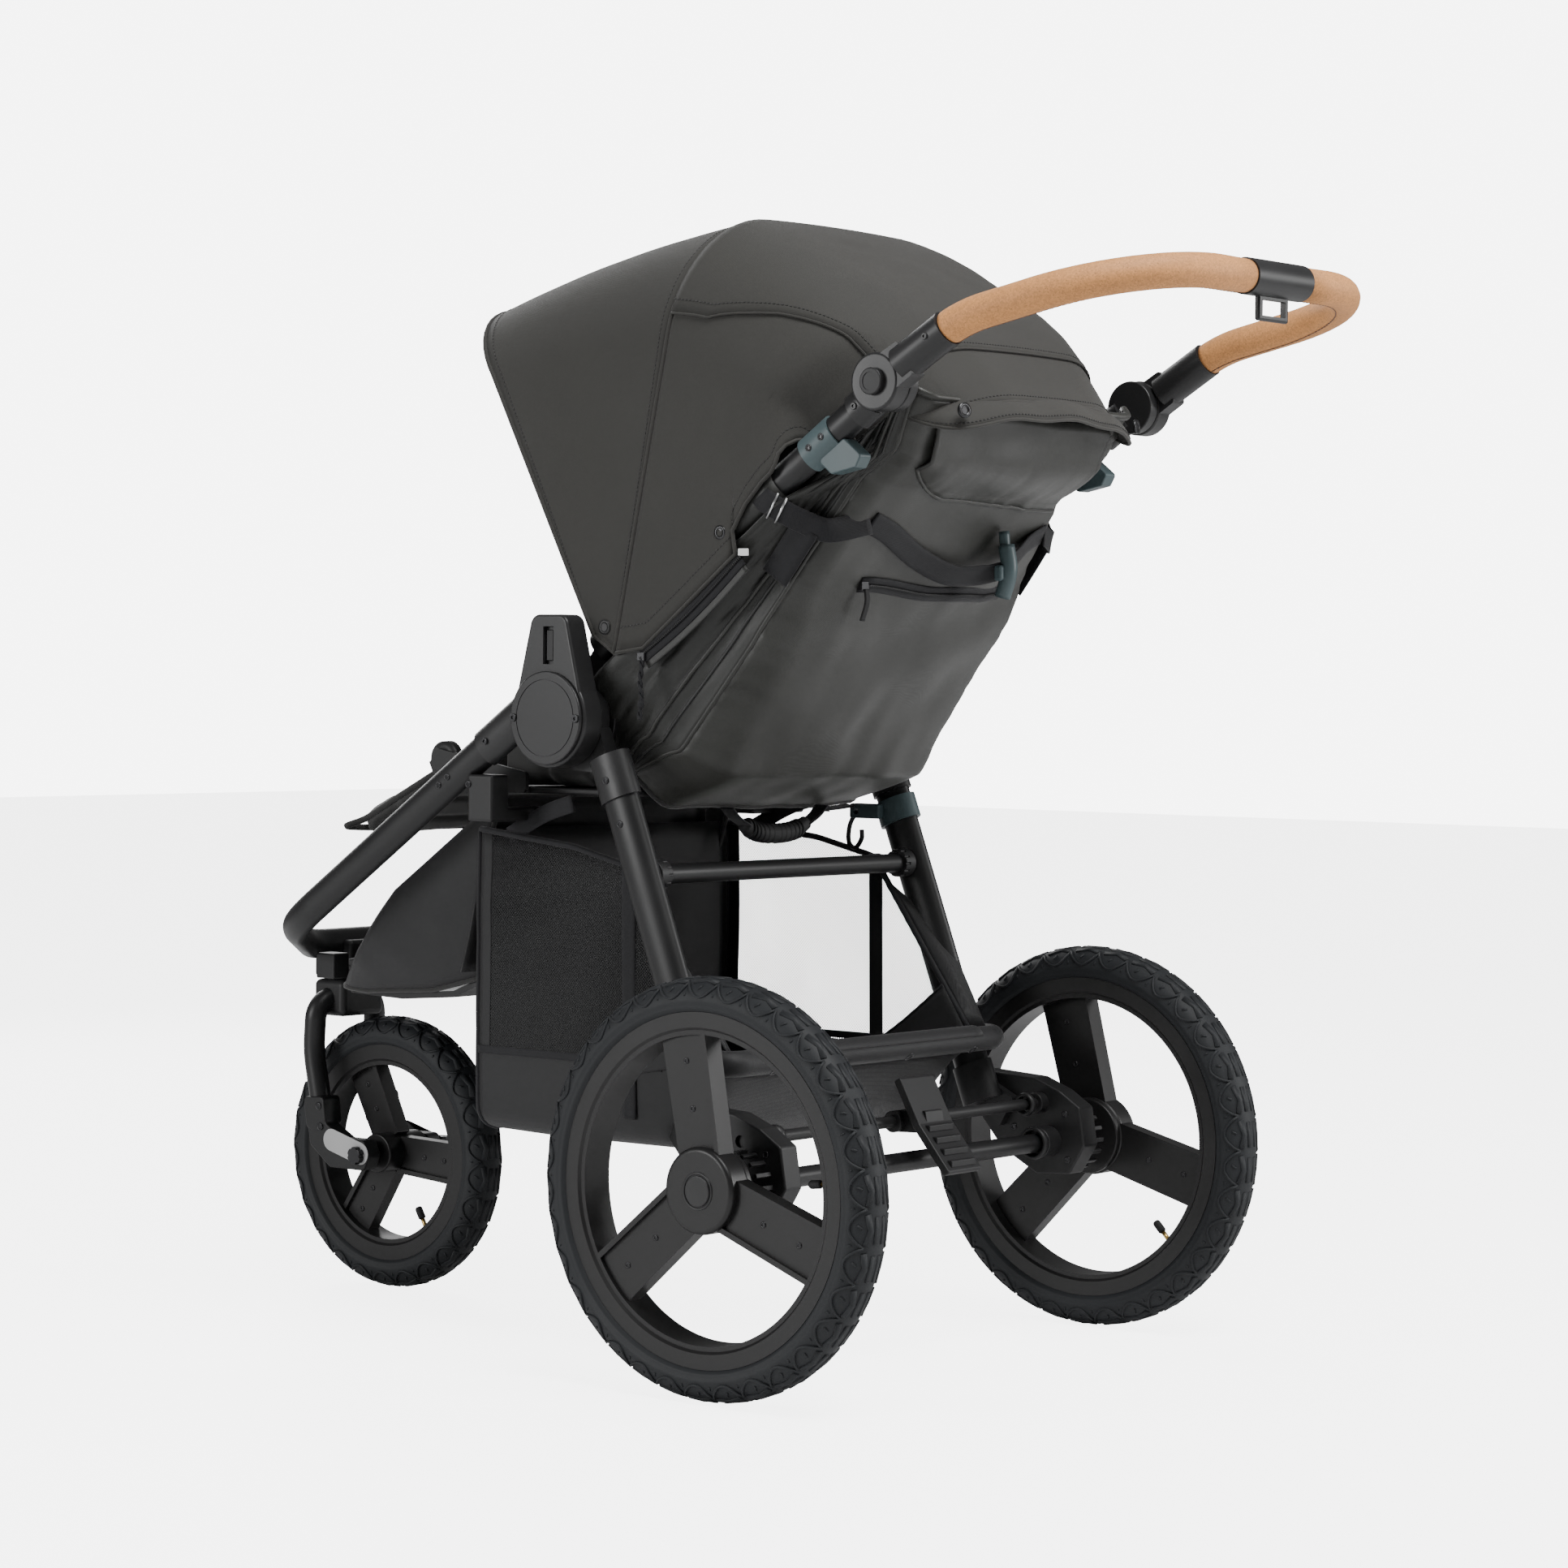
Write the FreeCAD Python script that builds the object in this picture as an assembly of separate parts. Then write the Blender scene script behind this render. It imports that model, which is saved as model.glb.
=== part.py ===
import FreeCAD, Part
import math
import os

# All-terrain three-wheel baby stroller.
# Millimetres. +Z up, +Y to the rear (handle side), +X to the rider's left.
# Origin: middle of the footprint, on the ground.

V = FreeCAD.Vector
ACROSS = V(1, 0, 0)

# ---- overall sizes
LENGTH = 1311.0            # front tyre to the back of the handle grip
TRACK = 632.0              # between the rear tyres' middle planes
WHEELBASE = 731.0
REAR_WHEEL_D = 406.0
FRONT_WHEEL_D = 305.0
FRAME_ANGLE = 34.7         # rails and front tubes above horizontal, degrees
HUB_AHEAD = 273.0          # folding hub ahead of the rear axle
HUB_Z = 647.0              # folding hub above the ground
FIT = 0.1                  # clearance of a piece seated in another
RUN = 0.05                 # radial clearance of a turning fit
GAP = 0.5                  # air between pieces that move past each other

# ---- tubes: high is across the tube in side view, wide is along X
TUBE_WALL = 2.0
FRONT_TUBE_X = 242.0
FRONT_TUBE_HIGH = 34.0
FRONT_TUBE_WIDE = 26.0
FRONT_TUBE_OFFSET = 28.0   # above the hub, square to the frame line
RAIL_X = 206.0
RAIL_HIGH = 32.0
RAIL_WIDE = 26.0
RAIL_OFFSET = 44.0
RAIL_START = 62.0
RAIL_END = 470.0
LEG_X = 222.0
LEG_HIGH = 42.0
LEG_WIDE = 26.0
LEG_BEHIND_HUB = 39.0      # leg line behind the hub, level with it
LEG_LEAN = 21.1            # legs from vertical, degrees
LEG_TOP = 44.0             # along the leg line, from hub height
LEG_BOTTOM = 430.0
NOSE_HALF = 70.0           # half of the straight bar across the nose
NOSE_RADIUS = 75.0
NOSE_Z = 385.0
NOSE_AHEAD = 69.0          # nose bar ahead of the front axle
SIDE_RUN = 440.0           # straight run of the front tube from the hub
SIDE_RADIUS = 90.0

# ---- folding hub
HUB_R = 50.0
HUB_IN = 228.2
HUB_OUT = 256.0
PIN_R = 9.0
FOOT_IN = 196.0
FOOT_THICK = 8.0
COLLAR_IN = 208.5
COLLAR_OUT = 226.5
TOWER_HIGH = 104.0
TOWER_HALF = 23.0
COVER_R = 47.0
COVER_THICK = 4.5
SLEEVE_WALL = 3.0

# ---- handle
PIVOT_S = 505.0
HANDLE_X = 221.0
HANDLE_D = 25.4
GRIP_D = 33.0
ARM_ANGLE = 31.0
ARM_RUN = 110.0
ARM_RADIUS = 160.0
HANDLE_RADIUS = 125.0
BAR_ANGLE = 12.0
SOCKET_END = 92.0
PIVOT_R = 28.0
CLASP_HALF = 48.0
BUTTON_R = 13.0

# ---- wheels
REAR_TYRE_W = 50.0
FRONT_TYRE_W = 47.0
REAR_BEAD_R = 166.0
REAR_OPENING_R = 148.0
FRONT_BEAD_R = 117.0
FRONT_OPENING_R = 98.0
SPOKE_COUNT = 3
LEFT_SPOKE = 100.6          # where the first spoke stands, degrees from +Y
RIGHT_SPOKE = 105.0
RIM_INSET = 4.6            # rim's flange in from the tyre's widest side
FLANGE_THICK = 2.6
FLANGE_HIGH = 4.0
AXLE_R = 6.0
AXLE_TUBE_R = 10.0
HOUSING_IN = 236.0
HOUSING_OUT = 262.0
ROD_R = 6.0
ROD_AHEAD = 12.0
ROD_ABOVE = 40.0
CROSS_TUBE_R = 10.0
CROSS_TUBE_Z = 492.0
BASKET_BAR_R = 13.0

# ---- fork
TRAIL = 77.0
FORK_LEG_X = 47.0
FORK_LEG_R = 12.0
STEM_R = 8.0
CROWN_TOP = 343.0
CROWN_BOTTOM = 302.0

# ---- soft goods
CANOPY_S = 100.0           # canopy pivot along the rail
CANOPY_X = 227.7
CANOPY_REAR_X = 188.5
CLOTH = 2.5
FRONT_BOW_ANGLE = 122.5
MID_BOW_ANGLE = 76.0
REAR_HEM_ANGLE = 30.0
BACK_ANGLE = 57.0
BACK_LONG = 365.0
SEAT_HALF = 184.0
BASKET_HALF = 200.0

# ---- derived places
FRONT_R = FRONT_WHEEL_D / 2
REAR_R = REAR_WHEEL_D / 2
FRONT_AXLE_Y = FRONT_R - LENGTH / 2
REAR_AXLE_Y = FRONT_AXLE_Y + WHEELBASE
HUB_Y = REAR_AXLE_Y - HUB_AHEAD
SWIVEL_Y = FRONT_AXLE_Y - TRAIL
NOSE_Y = FRONT_AXLE_Y - NOSE_AHEAD
LEAN = math.radians(LEG_LEAN)
SLOPE = math.radians(FRAME_ANGLE)


def along(s, offset):
    """Side-view point at s along the frame line from the hub, offset square to it."""
    y = HUB_Y + s * math.cos(SLOPE) - offset * math.sin(SLOPE)
    z = HUB_Z + s * math.sin(SLOPE) + offset * math.cos(SLOPE)
    return y, z


def on_leg(t):
    """Side-view point at t down the leg line."""
    return HUB_Y + LEG_BEHIND_HUB + t * math.sin(LEAN), HUB_Z - t * math.cos(LEAN)


def polar(centre, radius, degrees):
    """Side-view point at an angle measured from +Y towards +Z."""
    a = math.radians(degrees)
    return centre[0] + radius * math.cos(a), centre[1] + radius * math.sin(a)


PIVOT = along(PIVOT_S, RAIL_OFFSET)
CANOPY_PIVOT = along(CANOPY_S, RAIL_OFFSET)
REAR_AXLE = (REAR_AXLE_Y, REAR_R)
FRONT_AXLE = (FRONT_AXLE_Y, FRONT_R)
HUB = (HUB_Y, HUB_Z)
ROD = (REAR_AXLE_Y - ROD_AHEAD, REAR_R + ROD_ABOVE)
BACK_FOOT = (HUB_Y + 154.0, HUB_Z - 47.0)
CROSS_TUBE = on_leg((HUB_Z - CROSS_TUBE_Z) / math.cos(LEAN))


# ---- building blocks

def at(x, yz):
    return V(x, yz[0], yz[1])


def corner(before, point, after, radius):
    """Tangent points and middle of the arc that rounds a corner."""
    back = (before - point).normalize()
    ahead = (after - point).normalize()
    half = back.getAngle(ahead) / 2
    reach = radius / math.tan(half)
    bisector = (back + ahead).normalize()
    middle = point + bisector * (radius / math.sin(half) - radius)
    return point + back * reach, middle, point + ahead * reach


def rounded(points, radii):
    """Open path of straight runs joined by tangent arcs; radii are for the inner points."""
    edges = []
    start = points[0]
    for i, radius in enumerate(radii, 1):
        first, middle, last = corner(points[i - 1], points[i], points[i + 1], radius)
        edges.append(Part.LineSegment(start, first).toShape())
        edges.append(Part.Arc(first, middle, last).toShape())
        start = last
    edges.append(Part.LineSegment(start, points[-1]).toShape())
    return Part.Wire(edges)


def loop(points, radius):
    """Closed rounded outline."""
    count = len(points)
    edges = []
    bends = [corner(points[i - 1], points[i], points[(i + 1) % count], radius)
             for i in range(count)]
    for i, (first, middle, last) in enumerate(bends):
        edges.append(Part.Arc(first, middle, last).toShape())
        following = bends[(i + 1) % count][0]
        if (following - last).Length > 1e-6:
            edges.append(Part.LineSegment(last, following).toShape())
    return Part.Wire(edges)


def plate(outline, x0, x1, radius=4.0, edge=0.0):
    """Side-view outline given thickness along X, with softened rims."""
    wire = loop([at(x0, p) for p in outline], radius)
    solid = Part.Face(wire).extrude(V(x1 - x0, 0, 0))
    return soften(solid, (x0, x1), edge)


def soften(solid, planes, edge):
    """Round the rims that lie in the planes x = constant."""
    if not edge:
        return solid
    rims = [e for e in solid.Edges
            if any(e.BoundBox.XLength < 1e-4 and abs(e.BoundBox.XMin - x) < 1e-4
                   for x in planes)]
    return solid.makeFillet(edge, rims)


def disc(radius, x0, x1, centre, edge=0.0):
    """Cylinder along X, with softened rims."""
    low = min(x0, x1)
    high = max(x0, x1)
    solid = Part.makeCylinder(radius, high - low, at(low, centre), ACROSS)
    return soften(solid, (low, high), edge)


def rod(start, end, radius):
    """Cylinder between two points."""
    return Part.makeCylinder(radius, (end - start).Length, start, end - start)


def block(x0, x1, y0, y1, z0, z1, edge=0.0):
    """Box with softened edges."""
    solid = Part.makeBox(x1 - x0, y1 - y0, z1 - z0, V(x0, y0, z0))
    return solid.makeFillet(edge, solid.Edges) if edge else solid


def oval(centre, direction, high, wide):
    """Ellipse square to a direction in side view; wide is along X."""
    up = ACROSS.cross(direction).normalize()
    tall = centre + up * (high / 2)
    side = centre + ACROSS * (wide / 2)
    if high >= wide:
        curve = Part.Ellipse(tall, side, centre)
    else:
        curve = Part.Ellipse(side, tall, centre)
    return Part.Wire(curve.toShape())


def bar(path, start, heading, high, wide):
    """Solid of an oval section carried along a path."""
    section = oval(start, heading, high, wide)
    return path.makePipeShell([section], True, False)


def tube(points, radii, high, wide, wall=TUBE_WALL):
    """Hollow oval tube along a rounded path."""
    path = rounded(points, radii)
    heading = points[1] - points[0]
    outer = bar(path, points[0], heading, high, wide)
    if not wall:
        return outer
    inner = bar(path, points[0], heading, high - 2 * wall, wide - 2 * wall)
    return outer.cut(inner)


def cylinder_bar(path, start, heading, radius):
    """Round bar along a path in any plane."""
    circle = Part.Wire(Part.Circle(start, heading, radius).toShape())
    return path.makePipeShell([circle], True, False)


def mirrored(shape):
    return shape.mirror(V(0, 0, 0), ACROSS)


def both(shape):
    """The piece and its mirror image, as separate solids."""
    return Part.makeCompound([shape, mirrored(shape)])


def screw(x, centre, radius=4.0, head=2.0, side=1):
    """Round screw head with a six-sided recess, standing on a face square to X."""
    start = x if side > 0 else x - head
    solid = disc(radius, start, start + head, centre, 0.5)
    reach = radius * 0.5
    mouth = x + side * head
    bottom = x + side * head * 0.35
    corners = [at(bottom, polar(centre, reach, 60 * k)) for k in range(7)]
    socket = Part.Face(Part.makePolygon(corners)).extrude(V((mouth - bottom) * 1.2, 0, 0))
    return solid.cut(socket)


# ---- front frame

def front_tube_points():
    side = [at(FRONT_TUBE_X, along(-58, FRONT_TUBE_OFFSET)),
            at(FRONT_TUBE_X, along(-SIDE_RUN, FRONT_TUBE_OFFSET)),
            V(NOSE_HALF, NOSE_Y, NOSE_Z)]
    return side + [V(-p.x, p.y, p.z) for p in reversed(side)]


def front_tube(high=FRONT_TUBE_HIGH, wide=FRONT_TUBE_WIDE, wall=TUBE_WALL):
    radii = [SIDE_RADIUS, NOSE_RADIUS, NOSE_RADIUS, SIDE_RADIUS]
    return tube(front_tube_points(), radii, high, wide, wall)


def front_tube_room():
    """Space that a piece seated on the front tube leaves for it."""
    return front_tube(FRONT_TUBE_HIGH + 2 * FIT, FRONT_TUBE_WIDE + 2 * FIT, 0)


def hub_housing():
    tower = [(HUB_Y - 46, HUB_Z + 12), (HUB_Y + 46, HUB_Z + 12),
             (HUB_Y + TOWER_HALF, HUB_Z + TOWER_HIGH),
             (HUB_Y - TOWER_HALF, HUB_Z + TOWER_HIGH)]
    body = plate(tower, HUB_IN, HUB_OUT, 12.0, 3.0)
    body = body.fuse(disc(HUB_R, HUB_IN, HUB_OUT, HUB, 3.0))
    start = at(FRONT_TUBE_X, along(-34, FRONT_TUBE_OFFSET))
    end = at(FRONT_TUBE_X, along(-98, FRONT_TUBE_OFFSET))
    sleeve = tube([start, end], [], FRONT_TUBE_HIGH + 2 * SLEEVE_WALL,
                  2 * (FRONT_TUBE_X - HUB_IN), 0)
    body = body.fuse(sleeve)
    pin = disc(PIN_R, FOOT_IN - 2, HUB_IN + 2, HUB)
    slot_y = 7.0
    slot = block(HUB_OUT - 6, HUB_OUT + 5, HUB_Y - slot_y, HUB_Y + slot_y,
                 HUB_Z + 54, HUB_Z + 92)
    body = body.fuse(pin).cut(slot)
    return body.cut(front_tube_room())


def hub_cover():
    cover = disc(COVER_R, HUB_OUT, HUB_OUT + COVER_THICK, HUB, 1.5)
    ring = disc(COVER_R - 8, HUB_OUT + COVER_THICK - 0.8, HUB_OUT + 9, HUB)
    inner = disc(COVER_R - 9, HUB_OUT + COVER_THICK - 2, HUB_OUT + 10, HUB)
    return cover.cut(ring.cut(inner))


def hub_screws():
    face = HUB_OUT + COVER_THICK
    heads = [screw(face, (HUB_Y + dy, HUB_Z)) for dy in (-42.0, 42.0)]
    tube_face = FRONT_TUBE_X + FRONT_TUBE_WIDE / 2 + SLEEVE_WALL / 2
    heads.append(screw(tube_face, along(-84, FRONT_TUBE_OFFSET), 3.5))
    heads += [mirrored(h) for h in heads]
    return Part.makeCompound(heads)


def head_bracket():
    body = block(-30, 30, SWIVEL_Y - 26, SWIVEL_Y + 34, CROWN_TOP + 2, NOSE_Z + 4, 5.0)
    bore = rod(V(0, SWIVEL_Y, CROWN_TOP - 5), V(0, SWIVEL_Y, CROWN_TOP + 24), STEM_R + RUN)
    return body.cut(front_tube_room()).cut(bore)


TRAY_PROFILE = [(-152, 357), (-60, 344), (43, 341), (118, 347), (165, 366)]


def footrest_tray():
    """Shallow curved tray: a bent board with a narrow nose and raised brackets."""
    thick = 7.0
    base = [(FRONT_AXLE_Y + 110 + y, z) for y, z in TRAY_PROFILE]
    outline = base + [(y, z + thick) for y, z in reversed(base)]
    board = plate(outline, -150, 150, 2.5)
    front = base[0][0]
    rear = base[-1][0]
    plan = [V(-40, front - 1, 0), V(40, front - 1, 0), V(148, front + 118, 0),
            V(148, rear + 1, 0), V(-148, rear + 1, 0), V(-148, front + 118, 0)]
    board = board.common(Part.Face(loop(plan, 20)).extrude(V(0, 0, 500)))
    foot = block(92, 116, front + 30, front + 58, base[0][1] - 4, NOSE_Z - 4, 2.0)
    tray = board.fuse(foot).fuse(mirrored(foot))
    return tray.cut(front_tube_room())


def seat_bracket():
    """Clamp under the front tube, with an arm in to the seat board."""
    y, z = along(-114, 0)
    clamp = block(FRONT_TUBE_X - 14, FRONT_TUBE_X + 12, y - 18, y + 16, z - 42, z + 6, 3.0)
    arm = block(SEAT_HALF - 20, FRONT_TUBE_X, y - 18, y + 16, z - 42, z - 28, 3.0)
    return clamp.fuse(arm).cut(front_tube_room())


SEAT_Z = HUB_Z - 79.0
LEGREST = (HUB_Y - 213.0, HUB_Z - 46.0)
LEGREST_PIN_R = 5.0


def seat_board():
    """Stiff seat base with an arm each side that carries the leg rest's pin."""
    front = HUB_Y - 150
    board = block(-178, 178, front, HUB_Y + 55, SEAT_Z, SEAT_Z + 6, 2.0)
    arm = [(front + 60, SEAT_Z), (front + 60, SEAT_Z + 22), (LEGREST[0] - 10, LEGREST[1] + 12),
           (LEGREST[0] - 14, LEGREST[1] - 10)]
    side = plate(arm, 185, 190, 5.0)
    tab = block(170, 187, front + 20, front + 55, SEAT_Z, SEAT_Z + 6)
    pin = disc(LEGREST_PIN_R, 168, 187, LEGREST)
    side = side.fuse(tab).fuse(pin)
    return board.fuse(side).fuse(mirrored(side))


def seat_pad():
    return block(-176, 176, HUB_Y - 155, HUB_Y + 74, SEAT_Z + 7, SEAT_Z + 58, 14.0)


def footwell_skirt():
    """Calf panel and side panels that close the foot space."""
    x_in = SEAT_HALF - 1
    x_out = x_in + CLOTH
    side = [along(-150, 4), along(-425, 4), (FRONT_AXLE_Y + 73, 376), (FRONT_AXLE_Y + 200, 366),
            (FRONT_AXLE_Y + 272, 388), (FRONT_AXLE_Y + 278, 470)]
    panel = plate(side, x_in, x_out, 3.0)
    rear = [(FRONT_AXLE_Y + 268, 388), (FRONT_AXLE_Y + 272, 388), (FRONT_AXLE_Y + 278, 470),
            (FRONT_AXLE_Y + 300, 545), (FRONT_AXLE_Y + 296, 546), (FRONT_AXLE_Y + 274, 471)]
    calf = plate(rear, -x_in - 1, x_in + 1, 0.5)
    return calf.fuse(panel).fuse(mirrored(panel))


def carry_handle():
    y = HUB_Y + 87
    points = [V(74, y, 549), V(34, y, 527), V(-34, y, 527), V(-74, y, 549)]
    return tube(points, [40, 40], 26, 26, 0).common(
        block(-90, 90, y - 13, y + 13, 519, 556, 4.0))


# ---- rear frame

def leg_bar(t0, t1, grow=0.0, wall=0.0):
    points = [at(LEG_X, on_leg(t0)), at(LEG_X, on_leg(t1))]
    return tube(points, [], LEG_HIGH + grow, LEG_WIDE + grow, wall)


def leg_collar():
    """Turning disc on the hub pin, with a socket for the leg."""
    plate_r = 42.0
    body = disc(plate_r, COLLAR_IN, COLLAR_OUT, HUB, 1.5)
    link = [on_leg(8), on_leg(60), (HUB_Y + 8, HUB_Z - 52), (HUB_Y - 4, HUB_Z - 20)]
    body = body.fuse(plate(link, COLLAR_IN, COLLAR_OUT, 4.0))
    body = body.fuse(leg_bar(LEG_TOP - 4, LEG_TOP + 42, 2 * SLEEVE_WALL))
    body = body.cut(leg_bar(LEG_TOP, LEG_TOP + 60, 2 * FIT))
    return body.cut(disc(PIN_R + RUN, COLLAR_IN - 5, COLLAR_OUT + 5, HUB))


def cross_tube():
    half = LEG_X - LEG_WIDE / 2 - 1
    bore = disc(CROSS_TUBE_R - TUBE_WALL, -half - 1, half + 1, CROSS_TUBE)
    return disc(CROSS_TUBE_R, -half, half, CROSS_TUBE).cut(bore)


def cross_tube_cap():
    """Serrated collar where the cross tube meets the leg."""
    inner = LEG_X - LEG_WIDE / 2 - 17
    outer = LEG_X - LEG_WIDE / 2 - FIT
    body = disc(15, inner, outer, CROSS_TUBE, 1.0)
    for k in range(12):
        groove = disc(1.6, inner - 1, inner + 7, polar(CROSS_TUBE, 15.4, 30 * k))
        body = body.cut(groove)
    body = body.cut(disc(CROSS_TUBE_R + FIT, inner - 1, outer + 1, CROSS_TUBE))
    return body.cut(leg_bar(100, 220, 2 * FIT))


def axle_tube():
    """Cross axle: a thick middle and a stub for each wheel."""
    stub_end = TRACK / 2 + 15
    middle = disc(AXLE_TUBE_R, -HOUSING_OUT, HOUSING_OUT, REAR_AXLE)
    return middle.fuse(disc(AXLE_R, -stub_end, stub_end, REAR_AXLE))


HOUSING_OUTLINE = [(-104, 36), (-90, 70), (-20, 66), (12, 54), (38, 38), (45, -2), (26, -33),
                   (-16, -36), (-62, -12)]


def axle_housing():
    """Faceted block that carries the axle and the brake rod, with the leg's lower socket."""
    outline = [(REAR_AXLE_Y + y, REAR_R + z) for y, z in HOUSING_OUTLINE]
    body = plate(outline, HOUSING_IN, HOUSING_OUT, 5.0, 2.5)
    body = body.fuse(leg_bar(LEG_BOTTOM - 36, LEG_BOTTOM + 6, 2 * SLEEVE_WALL))
    link = [on_leg(LEG_BOTTOM - 26), on_leg(LEG_BOTTOM - 2), (REAR_AXLE_Y - 60, REAR_R + 8),
            (REAR_AXLE_Y - 40, REAR_R + 44)]
    body = body.fuse(plate(link, LEG_X + 4, HOUSING_IN + 4, 4.0))
    collar = disc(16, HOUSING_IN - 22, HOUSING_IN + 2, REAR_AXLE, 1.5)
    boss = disc(11, HOUSING_IN - 12, HOUSING_IN + 2, ROD, 1.0)
    body = body.fuse(collar).fuse(boss)
    body = body.cut(leg_bar(LEG_BOTTOM - 60, LEG_BOTTOM + FIT, 2 * FIT))
    body = body.cut(disc(AXLE_TUBE_R + FIT, 200, 270, REAR_AXLE))
    return body.cut(disc(ROD_R + RUN, 200, 270, ROD))


CLIP_HOLE_AHEAD = 40.0


def leg_clip():
    """Clamp on the right leg, with a tab for the fold strap."""
    t = 108.0
    body = leg_bar(t - 14, t + 12, 8)
    y, z = on_leg(t)
    tab = block(LEG_X - 24, LEG_X - 8, y - 49, y - 8, z - 8, z + 8, 2.5)
    body = body.fuse(tab).cut(leg_bar(t - 30, t + 30, 2 * FIT))
    hole = disc(4, LEG_X - 40, LEG_X + 5, (y - CLIP_HOLE_AHEAD, z))
    return mirrored(body.cut(hole))


def basket_bar():
    y = REAR_AXLE_Y - 57
    z = REAR_R + 108
    leg_y = on_leg((HUB_Z - z) / math.cos(LEAN))[0] + LEG_HIGH / 2 / math.cos(LEAN)
    side = [V(LEG_X, leg_y - 10, z), V(LEG_X, y, z)]
    points = side + [V(-p.x, p.y, p.z) for p in reversed(side)]
    path = rounded(points, [19, 19])
    solid = cylinder_bar(path, points[0], V(0, 1, 0), BASKET_BAR_R)
    room = leg_bar(300, 400, 2 * FIT)
    return solid.cut(room).cut(mirrored(room))


def basket():
    """Open-topped cloth basket hung between the legs."""
    front = HUB_Y - 145
    outer = [(front, 530), (front, 222), (front + 8, 216), (REAR_AXLE_Y - 150, 216),
             (REAR_AXLE_Y - 78, 296), (REAR_AXLE_Y - 84, 330), (HUB_Y + 60, 502)]
    shell = plate(outer, -BASKET_HALF, BASKET_HALF, 4.0)
    wall = CLOTH
    inner = [(front + wall, 700), (front + wall, 224), (front + 11, 216 + wall),
             (REAR_AXLE_Y - 151, 216 + wall), (REAR_AXLE_Y - 81, 298), (REAR_AXLE_Y - 60, 700)]
    hollow = plate(inner, -BASKET_HALF + wall, BASKET_HALF - wall, 3.0)
    return shell.cut(hollow)


def brake_pedal():
    """Foot pedal on its cross rod, with raised treads."""
    line = [(REAR_AXLE_Y + 2, REAR_R + 86), (REAR_AXLE_Y + 27, REAR_R + 41),
            (REAR_AXLE_Y + 66, REAR_R - 5)]
    thick = 8.0
    back = [(y - thick, z - thick / 2) for y, z in line]
    body = plate(line + back[::-1], -28, 28, 2.5, 1.5)
    web = plate([(ROD[0], ROD[1] + 11), (line[1][0] - 3, line[1][1] + 12),
                 (line[1][0] + 2, line[1][1] - 10), (ROD[0], ROD[1] - 11)], -14, 14, 2.0)
    body = body.fuse(web).fuse(disc(11, -22, 22, ROD, 1.0))
    for k in range(4):
        share = 0.12 + 0.24 * k
        y = line[1][0] + (line[2][0] - line[1][0]) * share
        z = line[1][1] + (line[2][1] - line[1][1]) * share
        body = body.fuse(block(-20, 20, y - 4, y + 3, z - 3, z + 4, 1.2))
    return body.fuse(disc(ROD_R, -HOUSING_OUT + 4, HOUSING_OUT - 4, ROD))


# ---- upper frame

def rail_bar(s0, s1, grow=0.0, wall=0.0):
    points = [at(RAIL_X, along(s0, RAIL_OFFSET)), at(RAIL_X, along(s1, RAIL_OFFSET))]
    return tube(points, [], RAIL_HIGH + grow, RAIL_WIDE + grow, wall)


def rail():
    """Side rail with its folding foot and the canopy's pivot stud."""
    outer = rail_bar(RAIL_START, RAIL_END)
    outline = [(HUB_Y - 30, HUB_Z + 14), along(RAIL_START + 20, RAIL_OFFSET + 13),
               along(RAIL_START + 44, RAIL_OFFSET - 4), along(30, -16)]
    foot = plate(outline, FOOT_IN, FOOT_IN + FOOT_THICK, 6.0)
    foot = foot.fuse(disc(44, FOOT_IN, FOOT_IN + FOOT_THICK, HUB, 1.5))
    stud = disc(4, RAIL_X, CANOPY_X - CLOTH - 0.4, CANOPY_PIVOT)
    solid = outer.fuse(foot).fuse(stud)
    solid = solid.cut(disc(PIN_R + RUN, FOOT_IN - 5, FOOT_IN + 15, HUB))
    return solid.cut(rail_bar(RAIL_START + 45, RAIL_END + 5, -2 * TUBE_WALL))


def rail_head():
    """Sleeve on the rail's top end, with the handle's pivot disc."""
    body = rail_bar(458, PIVOT_S - 12, 2 * SLEEVE_WALL)
    body = body.fuse(disc(PIVOT_R - 1, 196, 209, PIVOT, 1.5))
    link = [along(470, RAIL_OFFSET + 15), along(PIVOT_S + 4, RAIL_OFFSET + 17),
            along(PIVOT_S + 4, RAIL_OFFSET - 17), along(470, RAIL_OFFSET - 15)]
    body = body.fuse(plate(link, 197, 208, 4.0))
    body = body.cut(rail_bar(RAIL_START, RAIL_END + FIT, 2 * FIT))
    clear = disc(PIVOT_R + 2, 209.5, 240, PIVOT)
    body = body.cut(clear)
    body = body.fuse(disc(8, 205, 228, PIVOT))
    return body.fuse(screw(RAIL_X + RAIL_WIDE / 2 + SLEEVE_WALL - 0.6,
                           along(467, RAIL_OFFSET), 3.5))


def trigger():
    """Fold release that slides along the rail, with a finger flange below."""
    body = rail_bar(388, 428, 4.8)
    flange = [along(398, RAIL_OFFSET - 14), along(436, RAIL_OFFSET - 14),
              along(444, RAIL_OFFSET - 40), along(432, RAIL_OFFSET - 46),
              along(404, RAIL_OFFSET - 34)]
    body = body.fuse(plate(flange, RAIL_X - 9, RAIL_X + 9, 4.0, 1.5))
    return body.cut(rail_bar(340, 470, 2 * FIT))


def seat_side():
    outline = [(HUB_Y - 20, HUB_Z - 64), (HUB_Y + 62, HUB_Z - 72), (HUB_Y + 152, HUB_Z - 32),
               along(424, -2), along(398, 8), along(60, 8), (HUB_Y - 28, HUB_Z + 30)]
    return plate(outline, SEAT_HALF + 2, SEAT_HALF + 2 + CLOTH, 5.0)


# ---- seat back

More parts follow.
